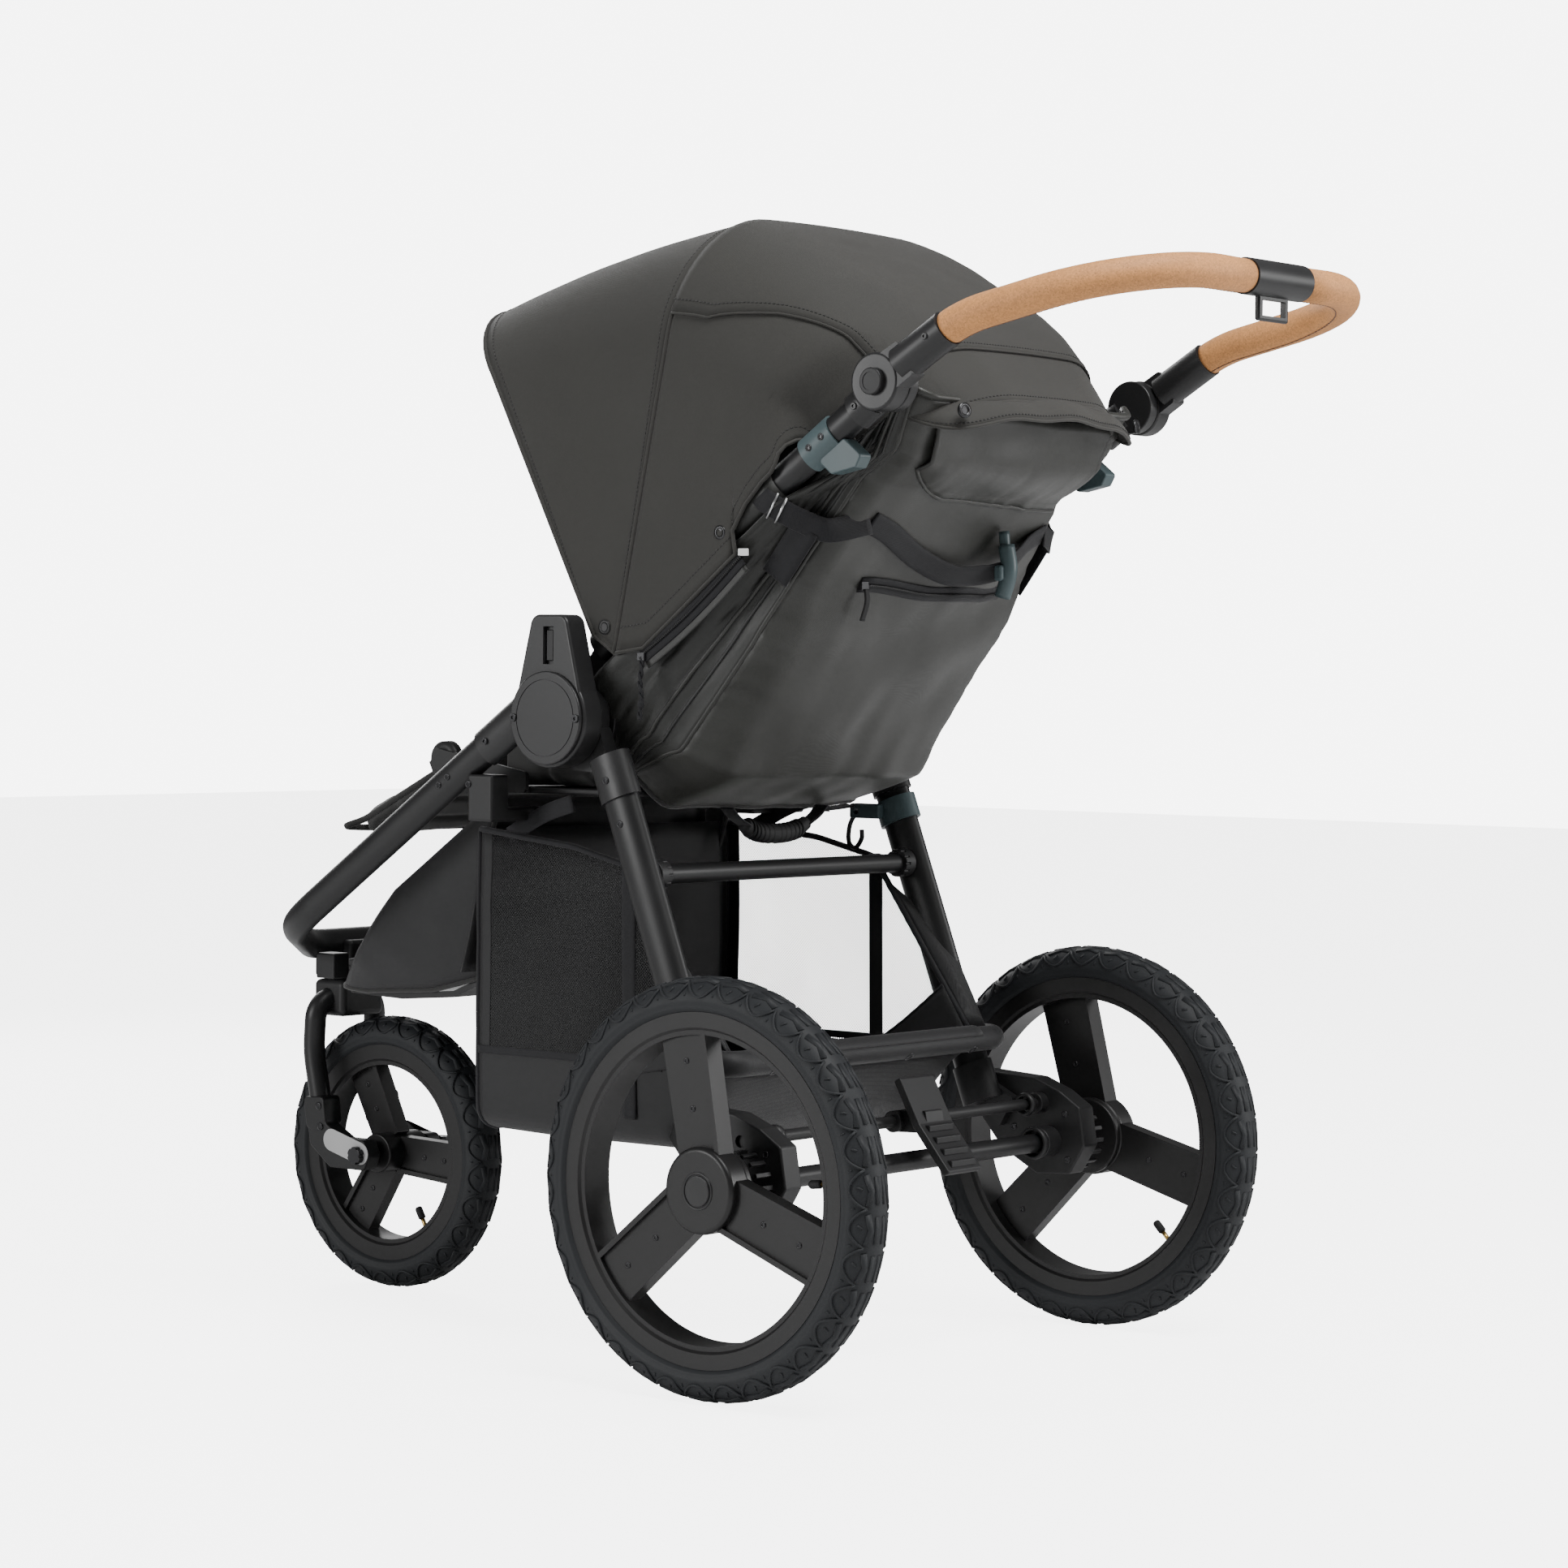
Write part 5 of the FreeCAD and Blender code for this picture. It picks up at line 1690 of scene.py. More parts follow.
    def window_flap(self, rows: Sequence[Sequence[Vector]]) -> bpy.types.Object:
        """Second layer over the crown, with a curved free edge each side.

        Args:
            rows: the rear panel's rows.

        Returns:
            The flap with its edges and stitches.
        """
        skin = self.offset(rows, 0.0028)
        flap_rows = []
        middle = self.columns // 2
        for j in range(38):
            t = j / 37
            reach = read([(0.0, 0.279), (0.22, 0.268), (0.5, 0.228), (0.8, 0.195), (1.0, 0.186)], t)
            length = sum((b - a).length for a, b in zip(skin[j][middle:], skin[j][middle + 1:]))
            wide = middle * reach / length
            line = []
            for k in range(-20, 21):
                spot = middle + wide * k / 20
                low = min(max(int(math.floor(spot)), 0), self.columns - 1)
                line.append(skin[j][low].lerp(skin[j][low + 1], spot - low))
            flap_rows.append(line)
        sheet = grid("flap", flap_rows)
        thicken(sheet, 0.0014)
        dress(sheet, Finish.CANOPY)
        edges = [self.edge("flap_edge", [r[0] for r in flap_rows], 0.0012),
                 self.edge("flap_edge", [r[-1] for r in flap_rows], 0.0012),
                 self.edge("flap_hem", flap_rows[-1], 0.0012)]
        inset = self.offset(flap_rows, 0.0010)
        rows_of_thread = [stitches("flap_stitch", [r[1] for r in inset]),
                          stitches("flap_stitch", [r[-2] for r in inset]),
                          stitches("flap_stitch", inset[-2])]
        return join("flap", [sheet] + edges + rows_of_thread)

    def rear_flap(self) -> None:
        """Tuck-over flap at the back, with its bound edge and stitches."""
        rows = []
        for j in range(11):
            t = j / 10
            row = []
            for i in range(61):
                u = -1 + i / 30
                crown = 1 - abs(u) ** 2.6
                drop = 1 - 0.8 * abs(u) ** 14
                y = 0.328 + 0.030 * crown + (0.044 + 0.006 * crown) * math.sin(t * 1.45) * drop
                z = 0.946 + 0.024 * crown - 0.026 * t * t * drop
                p = Vector((-0.172 * u, y, z))
                p.y += crease(p, 14.0, 0.002, 7.0) * t * crown
                p.z += 0.0016 * math.sin(u * 11 + 1) * t * crown
                row.append(p)
            rows.append(row)
        sheet = grid("sheet", rows)
        thicken(sheet, 0.0022)
        dress(sheet, Finish.CANOPY)
        out = [[p + Vector((0, 0.0018, 0)) for p in row] for row in rows]
        parts = [sheet, self.edge("bound", rows[-1], 0.0018), stitches("thread", out[-2])]
        piece = join("canopy_back_flap", parts)
        place(piece, "upper_frame", "fabric_canopy")

    def snaps(self) -> None:
        """Press studs on the flap, the lower edges and the pivots."""
        spots = [((sx * 0.146, 0.3885, 0.9470), (sx * 0.25, 0.95, 0.1)) for sx in (-1, 1)]
        place(heads("flap_snaps", spots, 0.0075, 0.0026, 0.0008, Finish.DARK_STEEL, 28),
              "upper_frame", "plastic_black")
        pivots = [((sx * 0.2275, 0.0050, 0.7385), (sx, 0, 0)) for sx in (-1, 1)]
        place(heads("pivot_snaps", pivots, 0.0075, 0.0020, 0.0004, Finish.SOFT_PLASTIC, 28),
              "canopy_mid", "plastic_black")
        lower = [((sx * 0.2275, 0.1545, 0.8310), (sx, 0, 0)) for sx in (-1, 1)]
        place(heads("edge_snaps", lower, 0.0070, 0.0026, 0.0006, Finish.DARK_STEEL, 28),
              "upper_frame", "plastic_black")

    def build(self) -> None:
        """Make every piece of the canopy."""
        self.build_front()
        self.build_rear()
        self.rear_flap()
        self.snaps()


# ---------------------------------------------------------------- seat

@dataclass
class Seat:
    """Soft seat: outer back, gathered sides, liner pads, zips and straps."""
    half: float = 0.188
    foot: Side = (0.109, 0.600)
    back_angle: float = 57.0
    long: float = 0.366
    columns: int = 72

    def on_back(self, run: float, offset: float) -> Side:
        """Side-view point run along the back, offset towards the rider.

        Args:
            run: distance up the back.
            offset: distance in front of it.

        Returns:
            The point.
        """
        a = math.radians(self.back_angle)
        return (self.foot[0] + run * math.cos(a) - offset * math.sin(a),
                self.foot[1] + run * math.sin(a) + offset * math.cos(a))

    def back_line(self, t: float) -> Side:
        """Middle of the outer back at a share from the bottom edge to the top.

        Args:
            t: share of the way up.

        Returns:
            The point.
        """
        y1, z1 = self.on_back(0.0, 0.0)
        y2, z2 = self.on_back(0.335, 0.0)
        line = [(0.0, 0.022, 0.562), (0.17, y1 - 0.004, z1 - 0.004), (0.78, y2, z2),
                (0.90, 0.3330, 0.9060), (1.0, 0.3600, 0.9620)]
        return read(line, t, 1), read(line, t, 2)

    def shell_row(self, t: float) -> list[Vector]:
        """One cross line of the outer back, from its left seam to the right one.

        Args:
            t: share of the way up.

        Returns:
            Points from left to right.
        """
        y, z = self.back_line(t)
        lean = math.radians(self.back_angle if t > 0.16 else lerp(26.0, 57.0, t / 0.16))
        out_y, out_z = math.sin(lean), -math.cos(lean)
        width = read([(0.0, 0.186), (0.45, 0.188), (0.62, 0.180), (0.80, 0.164), (0.90, 0.168),
                      (1.0, 0.176)], t)
        tuck = read([(0.0, 0.034), (0.15, 0.040), (0.42, 0.020), (0.7, 0.012), (1.0, 0.010)], t)
        zone = read([(0.0, 0.20), (0.3, 0.22), (0.6, 0.12), (1.0, 0.10)], t)
        row = []
        for i in range(self.columns + 1):
            u = -1 + 2 * i / self.columns
            x = -width * u
            edge = 1 - abs(u)
            crown = 0.016 * (1 - abs(u) ** 3.0) * math.sin(math.pi * min(max(t, 0.03), 0.97)) ** 0.4
            roll = -tuck * (1 - ease(0.5 + edge / zone / 2)) * 2
            p = Vector((x, y, z))
            fold = crease(Vector((x * 0.8, y * 0.4, z * 0.7)), 8.0, 0.0075, 1.0)
            drag = 0.0026 * math.sin(26 * (x + 0.9 * z) + 3 * math.sin(z * 17)) * math.sin(math.pi * t)
            pull = 0.0024 * math.sin(z * 300 + 2.0 * math.sin(x * 21)) * math.exp(-edge * 15)
            gather = 0.0016 * math.sin(t * 190) * math.exp(-edge * 18)
            rise = crown + roll + (fold + drag + pull + gather) * ease(edge / 0.05)
            row.append(p + Vector((0, out_y, out_z)) * rise)
        return row

    def shell(self) -> None:
        """Outer back panel, piped all round."""
        rows = [self.shell_row(k / 84) for k in range(85)]
        sheet = grid("sheet", rows)
        thicken(sheet, 0.0030)
        dress(sheet, Finish.SEAT)
        left = [row[0] for row in rows]
        right = [row[-1] for row in rows]
        parts = [sheet]
        for line in (left, right):
            parts.append(dress(sweep("piping", line, circle(0.0026, 10)), Finish.SEAT))
            inner = [p + (rows[i][self.columns // 2] - p).normalized() * 0.008
                     + Vector((0, 0.004, -0.002)) for i, p in enumerate(line)]
            parts.append(stitches("thread", inner))
        parts.append(dress(sweep("hem", rows[0], circle(0.0035, 10)), Finish.PIPING))
        parts.append(dress(sweep("top", rows[-1], circle(0.0040, 10)), Finish.SEAT))
        piece = join("seat_back_cover", parts)
        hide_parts("seat_shell")
        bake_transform(piece)
        log.info("seat_back_cover bends at the back's hinge")

    def surface(self, x: float, t: float, lift: float = 0.003) -> Vector:
        """Point on the outer back at a place across and a share up it.

        Args:
            x: place across.
            t: share of the way up.
            lift: distance from the cloth.

        Returns:
            The point.
        """
        row = self.shell_row(t)
        u = -x / (self.half + 0.004)
        spot = (u + 1) / 2 * self.columns
        low = min(max(int(spot), 0), self.columns - 1)
        p = row[low].lerp(row[low + 1], spot - low)
        a = math.radians(self.back_angle)
        return p + Vector((0, math.sin(a), -math.cos(a))) * lift

    def pocket(self) -> None:
        """Upper pocket flap with its elastic edge, zip and puller."""
        def edge_t(x: float) -> float:
            """Share up the back of the pocket's elastic edge."""
            return 0.765 + 0.012 * (x / self.half) + 0.085 * max((x - 0.075) / 0.083, 0.0) ** 2
        rows = []
        for j in range(15):
            s = j / 14
            line = []
            for i in range(61):
                x = lerp(0.158, -0.160, i / 60)
                low = edge_t(x)
                t = lerp(low, 0.985, s)
                puff_up = 0.0025 + 0.006 * math.sin(math.pi * min(s * 1.2, 1.0))
                wave = crease(Vector((x * 3.0, s * 0.05, 0.3)), 18.0, 0.0016, 9.0) * (1 - s)
                line.append(self.surface(x, t, puff_up + wave))
            rows.append(line)
        sheet = grid("sheet", rows)
        thicken(sheet, 0.0022)
        dress(sheet, Finish.SEAT)
        trim = dress(sweep("elastic", rows[0], circle(0.0024, 8)), Finish.SEAT)
        below = [p + Vector((0, 0.0012, 0.0)) for p in rows[1]]
        flap = join("pocket_flap", [sheet, trim, stitches("thread", below, pitch=0.004)])
        place(flap, "backrest", "fabric_seat")
        tape = [self.surface(lerp(0.117, -0.128, k / 12), 0.578 + 0.002 * math.sin(k), 0.0022)
                for k in range(13)]
        band = sweep("tape", tape, flat(0.017, 0.0014), up=(0.0, 0.84, -0.54))
        teeth = [p + Vector((0, 0.0012, -0.0008)) for p in tape]
        chain = stitches("zip_chain", teeth, Finish.PLASTIC, 0.0020, 0.0013, 0.0020)
        head = self.surface(0.112, 0.578, 0.0042)
        slider = box("slider", (head.x - 0.006, head.y - 0.003, head.z - 0.005),
                     (head.x + 0.006, head.y + 0.002, head.z + 0.005), 0.0012)
        pull = webbing("pull", [head + Vector((0, 0.003, -0.003)), head + Vector((0, 0.004, -0.016)),
                                head + Vector((0, -0.002, -0.034))], 0.007, (0, 1, 0), 0.0022)
        zip_piece = join("back_zip", [dress(band, Finish.WEBBING), chain,
                                      dress(slider, Finish.DARK_STEEL), dress(pull, Finish.RUBBER)])
        place(zip_piece, "backrest", "fabric_black")

    def side_point(self, s: float, t: float, side: int) -> Vector:
        """Point on a gathered side: s from the rail to the back's seam, t up the seat.

        Args:
            s: share from the rail to the seam.
            t: share of the way up.
            side: 1 for left, -1 for right.

        Returns:
            The point.
        """
        back = self.shell_row(t)[0]
        rail_s = read([(0.0, -0.052), (0.16, 0.010), (0.34, 0.090), (0.70, 0.290), (0.80, 0.335),
                       (1.0, 0.430)], t)
        low = read([(0.0, -0.028), (0.10, 0.0), (0.20, 0.016), (0.34, 0.020), (0.70, 0.022),
                    (0.84, 0.025), (1.0, 0.030)], t)
        out_x = read([(0.0, 0.1880), (0.16, 0.2060), (0.26, 0.2215), (0.80, 0.2215), (0.88, 0.1905),
                      (1.0, 0.1885)], t)
        y, z = along(rail_s, low)
        rail = Vector((out_x, y, z))
        if t < 0.16:
            k = 1 - t / 0.16
            rail = rail.lerp(Vector((0.188, -0.022, 0.586)), k * k)
        p = rail.lerp(back, s)
        bulge = 0.012 * math.sin(math.pi * s) * math.sin(math.pi * min(t + 0.1, 1.0))
        drape = 0.0055 * math.sin(s * 9 + t * 7) * math.sin(math.pi * s)
        ruck = crease(Vector((p.y, p.z, s)), 16.0, 0.0045, 5.0) * math.sin(math.pi * s)
        x = lerp(rail.x, back.x + 0.001, ease(s * 1.3) * 0.6 + s * 0.4)
        x += min(bulge * 0.35 + drape * 0.5 + ruck, 0.006)
        return Vector((side * x, p.y, p.z))

    def sides(self) -> None:
        """Gathered cloth between each rail and the back."""
        for side, label in SIDES:
            rows = [[self.side_point(i / 30, j / 60, side) for i in range(31)] for j in range(61)]
            sheet = grid("sheet", rows)
            thicken(sheet, 0.0024)
            dress(sheet, Finish.SEAT_DARK)
            hem = dress(sweep("hem", rows[0], circle(0.0030, 10)), Finish.PIPING)
            ridge = [row[21] + Vector((side * 0.0022, 0, 0)) for row in rows]
            ridge_line = dress(sweep("ridge", ridge, circle(0.0024, 8)), Finish.SEAT)
            ridge2 = [row[25] + Vector((side * 0.0018, 0, 0)) for row in rows]
            ridge_b = dress(sweep("ridge", ridge2, circle(0.0016, 8)), Finish.SEAT_DARK)
            wrap = []
            for k in range(15):
                y, z = along(lerp(0.078, 0.345, k / 14), RAIL_OFFSET)
                wrap.append((side * 0.2062, y, z))
            oval = [(0.0170 * math.cos(a), 0.0200 * math.sin(a))
                    for a in (2 * math.pi * k / 24 for k in range(24))]
            sleeve = dress(sweep("sleeve", wrap, oval, up=(0, -0.57, 0.82)), Finish.SEAT_DARK)
            piece = join(f"seat_side_{label}", [sheet, hem, ridge_line, ridge_b, sleeve])
            if side > 0:
                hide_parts("seat_sides")
            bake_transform(piece)
            log.info("seat_side_%s joins the rail and the back", label)

    def screens(self) -> None:
        """Cloth inside each rail that closes the seat up to the canopy."""
        for side, label in SIDES:
            rows = []
            for j in range(9):
                row = []
                for i in range(33):
                    y, z = along(lerp(0.250, 0.430, i / 32), lerp(0.026, 0.098, j / 8))
                    x = 0.1875 - 0.004 * j / 8 + crease(Vector((y, z, 0.4)), 20.0, 0.0018, 3.0)
                    row.append((side * x, y, z))
                rows.append(row)
            sheet = grid("sheet", rows)
            thicken(sheet, 0.0016)
            dress(sheet, Finish.SEAT_DARK)
            top = dress(sweep("hem", rows[-1], circle(0.0022, 8)), Finish.PIPING)
            piece = join(f"seat_screen_{label}", [sheet, top])
            place(piece, "upper_frame", "fabric_seat")

    def side_zip(self) -> None:
        """Zip under each rail, with a white end and a knotted cord pull."""
        for side, label in SIDES:
            line = []
            for k in range(13):
                t = k / 12
                line.append((side * 0.2262, lerp(0.0540, 0.1800, t),
                             lerp(0.7110, 0.8070, t) - 0.005 * math.sin(math.pi * t)))
            band = webbing("band", line, 0.017, (side, 0, 0), 0.0016, 2)
            seam = webbing("seam", [(p[0] - side * 0.0012, p[1] + 0.006, p[2] - 0.010)
                                    for p in line], 0.008, (side, 0, 0), 0.0016, 2)
            chain = stitches("chain", [(p[0] + side * 0.0014, p[1], p[2]) for p in line],
                             Finish.PLASTIC, 0.0022, 0.0014, 0.0018)
            y, z = 0.1835, 0.8110
            tag = box("tag", (side * 0.2270 - 0.0014, y - 0.006, z - 0.003),
                      (side * 0.2270 + 0.0014, y + 0.006, z + 0.004), 0.0007)
            y, z = 0.0545, 0.7090
            slider = box("slider", (side * 0.2280 - 0.002, y - 0.005, z - 0.004),
                         (side * 0.2280 + 0.002, y + 0.005, z + 0.005), 0.001)
            parts = [dress(band, Finish.WEBBING), dress(seam, Finish.SEAT_DARK), chain,
                     dress(tag, Finish.WHITE), dress(slider, Finish.DARK_STEEL)]
            drop = [(side * 0.2285, y + 0.001 * math.sin(k), z - 0.0052 * k) for k in range(13)]
            for phase in (0.0, math.pi):
                strand = [(p[0] + 0.0013 * math.cos(k * 1.6 + phase),
                           p[1] + 0.0017 * math.sin(k * 1.6 + phase), p[2])
                          for k, p in enumerate(drop)]
                parts.append(dress(cord_pipe("strand", strand, 0.0015, steps=4, sides=8),
                                   Finish.WEBBING))
            knot = [drop[8], drop[9], drop[10]]
            parts.append(dress(sweep("knot", spline(knot, 6), circle(0.0036, 10),
                                     size=lambda t: 0.5 + 0.5 * math.sin(math.pi * t)),
                               Finish.WEBBING))
            piece = join(f"side_zip_{label}", parts)
            place(piece, "upper_frame", "fabric_black")

    def recline_strap(self) -> None:
        """Strap across the back that sets the recline, with ring, patches and toggle."""
        back_parts, frame_parts = [], []
        run = [(0.158, 0.705, 0.0035), (0.120, 0.688, 0.0045), (0.060, 0.648, 0.0075),
               (0.006, 0.628, 0.0125), (-0.035, 0.638, 0.0185), (-0.058, 0.652, 0.0225)]
        far = [run[-1], (-0.090, 0.672, 0.0145), (-0.125, 0.692, 0.006), (-0.158, 0.705, 0.0035)]
        up = (0.0, 0.84, -0.54)
        for table in (run, far):
            line = [self.surface(*spot) for spot in table]
            back_parts.append(dress(webbing("strap", line, 0.024, up, 0.002), Finish.WEBBING))
        for sign in (1, -1):
            seam = self.surface(sign * 0.160, 0.705, 0.0035)
            line = [Vector((sign * 0.2212, 0.1975, 0.8690)), Vector((sign * 0.2225, 0.2080, 0.8605)),
                    Vector((sign * 0.2140, 0.2240, 0.8500)), Vector((sign * 0.1985, 0.2410, 0.8390)),
                    Vector((sign * 0.1835, 0.2580, 0.8330)), seam]
            strap = webbing("strap", line, 0.024, (sign, 0.25, -0.15), 0.002)
            frame_parts.append(dress(strap, Finish.WEBBING))
            drop = [(sign * 0.1975, 0.2370, 0.8350), (sign * 0.1985, 0.2180, 0.8100),
                    (sign * 0.1990, 0.2000, 0.7870)]
            patch = webbing("patch", drop, 0.030, (sign, 0.25, -0.15), 0.002)
            frame_parts.append(dress(patch, Finish.WEBBING))
            for shift in (0.0, 0.0075):
                centre = Vector((sign * (0.2215 - shift * 0.5), 0.2150 + shift, 0.8560 - shift * 0.6))
                bar = [centre + Vector((0, -0.007, -0.012)), centre + Vector((0, 0.007, 0.012))]
                frame_parts.append(dress(sweep("bar", bar, circle(0.0012, 8)), Finish.STEEL))
        hold = self.surface(-0.060, 0.660, 0.0290)
        body = cord_pipe("toggle", [hold + Vector((0, -0.004, -0.026)), hold + Vector((0, 0.004, 0.0)),
                                    hold + Vector((0, 0.0, 0.026))], 0.0085, steps=6, sides=16)
        button = cord_pipe("button", [hold + Vector((0, -0.001, 0.022)), hold + Vector((0, -0.003, 0.040))],
                           0.0055, steps=4, sides=14)
        ears = box("ears", (hold.x - 0.014, hold.y - 0.006, hold.z - 0.010),
                   (hold.x + 0.014, hold.y + 0.004, hold.z + 0.006), 0.003)
        back_parts += [dress(body, Finish.TEAL), dress(button, Finish.TEAL), dress(ears, Finish.TEAL)]
        place(join("recline_strap", back_parts), "backrest", "fabric_black")
        place(join("recline_anchors", frame_parts), "upper_frame", "fabric_black")

    def pad_block(self, name: str, corners: Sequence[Side], half: float) -> bpy.types.Object:
        """Closed block with side-view corners, ready to be swollen.

        Args:
            name: piece's name.
            corners: side-view corners.
            half: half of the width.

        Returns:
            The new piece.
        """
        rows = []
        for k in range(13):
            x = lerp(-half, half, k / 12)
            rows.append([(x, y, z) for y, z in corners])
        return outward(grid(name, rows, wrap=True, caps=True))

    def channels(self, piece: bpy.types.Object, lines: Sequence[float], axis: Callable[[Vector], float],
                 depth: float) -> None:
        """Press sewn channels into a pad where a measure meets each line.

        Args:
            piece: swollen pad.
            lines: where the channels are.
            axis: measure of a point.
            depth: depth of a channel.
        """
        mesh = piece.data
        mesh.update()
        moves = []
        for vertex in mesh.vertices:
            v = axis(vertex.co)
            press = sum(math.exp(-((v - line) / 0.006) ** 2) for line in lines)
            moves.append(vertex.normal * (-depth * min(press, 1.0)))
        for vertex, move in zip(mesh.vertices, moves):
            vertex.co += move

    def pads(self) -> None:
        """Back pad and seat cushion, swollen and channelled."""
        inset = 0.006
        corners = [self.on_back(0.034, 0.018 + inset), self.on_back(self.long - 0.018, 0.018 + inset),
                   self.on_back(self.long - 0.018, 0.046 - inset), self.on_back(0.034, 0.046 - inset)]
        back = puff(self.pad_block("back_liner", corners, 0.158), 0.007)
        a = math.radians(self.back_angle)
        self.channels(back, (0.075, 0.150, 0.225, 0.300),
                      lambda p: (p.y - self.foot[0]) * math.cos(a) + (p.z - self.foot[1]) * math.sin(a),
                      0.0035)
        dress(back, Finish.LINER)
        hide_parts("back_pad")
        place(back, "backrest", "fabric_seat")
        seat_corners = [(-0.192, 0.583), (0.020, 0.583), (0.020, 0.618), (-0.192, 0.618)]
        cushion = puff(self.pad_block("seat_cushion", seat_corners, 0.168), 0.008)
        self.channels(cushion, (-0.135, -0.075, -0.015), lambda p: p.y, 0.004)
        dress(cushion, Finish.LINER)
        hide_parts("seat_pad")
        place(cushion, "chassis", "fabric_seat")

    def harness(self) -> None:
        """Shoulder and lap webbing with a buckle, on the liner."""
        parts = []
        for side in (1, -1):
            line = []
            for k in range(9):
                t = k / 8
                y, z = self.on_back(lerp(0.300, 0.075, t), 0.0505 + 0.006 * math.sin(math.pi * t))
                line.append((side * lerp(0.058, 0.030, t), y, z))
            parts.append(dress(webbing("shoulder", line, 0.030, (0, -0.84, 0.54), 0.005, 4),
                               Finish.SEAT_DARK))
        y, z = self.on_back(0.072, 0.056)
        buckle = box("buckle", (-0.028, y - 0.010, z - 0.022), (0.028, y + 0.002, z + 0.020), 0.006)
        parts.append(dress(buckle, Finish.PLASTIC))
        place(join("shoulder_harness", parts), "backrest", "fabric_black")
        strap = [(0, y - 0.012, z - 0.018), (0, y - 0.030, 0.640), (0, -0.020, 0.6265)]
        crotch = dress(webbing("crotch_strap", strap, 0.030, (0, -0.6, 0.8), 0.003), Finish.WEBBING)
        place(crotch, "chassis", "fabric_black")

    def build(self) -> None:
        """Make every piece of the seat."""
        self.shell()
        self.pocket()
        self.sides()
        self.screens()
        self.side_zip()
        self.recline_strap()
        self.pads()
        self.harness()


# ---------------------------------------------------------------- front end

@dataclass
class FrontEnd:
    """Leg rest, calf panels and the tray's trim."""
    rest_angle: float = 207.0
    pivot: Side = (-0.258, 0.601)

    def leg_rest(self) -> None:
        """Padded leg rest with a bound edge and hinge discs."""
        a = math.radians(self.rest_angle)
        across = (math.cos(a - math.pi / 2), math.sin(a - math.pi / 2))

        def at(run: float, off: float) -> Side:
            return (self.pivot[0] + run * math.cos(a) + off * across[0],
                    self.pivot[1] + run * math.sin(a) + off * across[1])
        corners = [at(0.008, 0.011), at(0.166, 0.011), at(0.166, -0.011), at(0.008, -0.011)]
        rows = [[(x, y, z) for y, z in corners] for x in
                [lerp(-0.158, 0.158, k / 12) for k in range(13)]]
        pad = puff(outward(grid("leg_rest_pad", rows, wrap=True, caps=True)), 0.006)
        Seat().channels(pad, (0.065, 0.115),
                        lambda p: (p.y - self.pivot[0]) * math.cos(a) + (p.z - self.pivot[1]) * math.sin(a),
                        0.003)
        dress(pad, Finish.LINER)
        edge = [(0.163, *at(0.020, 0)), (0.165, *at(0.14, 0)), (0.152, *at(0.171, 0)),
                (-0.152, *at(0.171, 0)), (-0.165, *at(0.14, 0)), (-0.163, *at(0.020, 0))]
        bound = dress(cord_pipe("edge", edge, 0.0035, steps=8), Finish.PIPING)
        parts = [pad, bound]
        for side in (1, -1):
            disc = lathe("disc", [(0, 0.0052), (side * 0.010, 0.0052), (side * 0.0115, 0.012),
                                  (side * 0.0100, 0.0185), (0, 0.0190)],
                         side * 0.1735, self.pivot, 48)
            arm = slab("arm", [at(0.0, 0.011), at(0.030, 0.011), at(0.030, -0.011), at(0.0, -0.011)],
                       side * 0.1650, side * 0.1735, 0.001)
            parts += [dress(disc, Finish.PLASTIC), dress(arm, Finish.PLASTIC)]
        piece = join("leg_rest_cushion", parts)
        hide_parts("leg_rest")
        place(piece, "leg_rest", "fabric_seat")

    def calf_panels(self) -> None:
        """Side panels that hang from the tubes to the tray, and the panel behind the calves."""
        low = [(0.0, -0.545, 0.366), (0.2, -0.47, 0.352), (0.5, -0.40, 0.347), (0.8, -0.30, 0.354),
               (1.0, -0.228, 0.372)]
        parts = []
        for side in (1, -1):
            rows = []
            for j in range(25):
                t = j / 24
                y0, z0 = along(lerp(-0.470, -0.150, t), 0.006)
                y1, z1 = read(low, t, 1), read(low, t, 2)
                row = []
                for i in range(17):
                    s = i / 16
                    x_top = lerp(0.085, 0.186, ease(t * 2.3))
                    x_low = lerp(0.050, 0.150, ease(t * 2.6))
                    bulge = 0.016 * math.sin(math.pi * s) * (0.4 + 0.6 * t)
                    x = lerp(x_top, x_low, s) + bulge
                    p = Vector((x, lerp(y0, y1, s), lerp(z0, z1, s)))
                    p.x += crease(p, 14.0, 0.003, 2.0) * math.sin(math.pi * s)
                    row.append(Vector((side * p.x, p.y, p.z)))
                rows.append(row)
            panel = grid("panel", rows)
            thicken(panel, 0.0022)
            dress(panel, Finish.BLACK_CLOTH)
            parts.append(panel)
            parts.append(dress(sweep("hem", [r[-1] for r in rows], circle(0.0030, 8)),
                               Finish.PIPING))
            parts.append(dress(sweep("edge", rows[-1], circle(0.0028, 8)), Finish.PIPING))
        calf = []
        for j in range(17):
            t = j / 16
            y, z = lerp(-0.232, -0.208, t) + 0.010 * math.sin(math.pi * t), lerp(0.378, 0.560, t)
            calf.append([Vector((lerp(0.182, -0.182, i / 24), y + 0.008 * math.sin(math.pi * i / 24), z))
                         for i in range(25)])
        back = grid("calf", calf)
        thicken(back, 0.0022)
        parts.append(dress(back, Finish.BLACK_CLOTH))
        piece = join("calf_panels", parts)
        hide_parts("footwell_skirt")
        place(piece, "chassis", "fabric_black")

    def build(self) -> None:
        """Make every piece of the front end."""
        self.leg_rest()
        self.calf_panels()


# ---------------------------------------------------------------- basket and rear

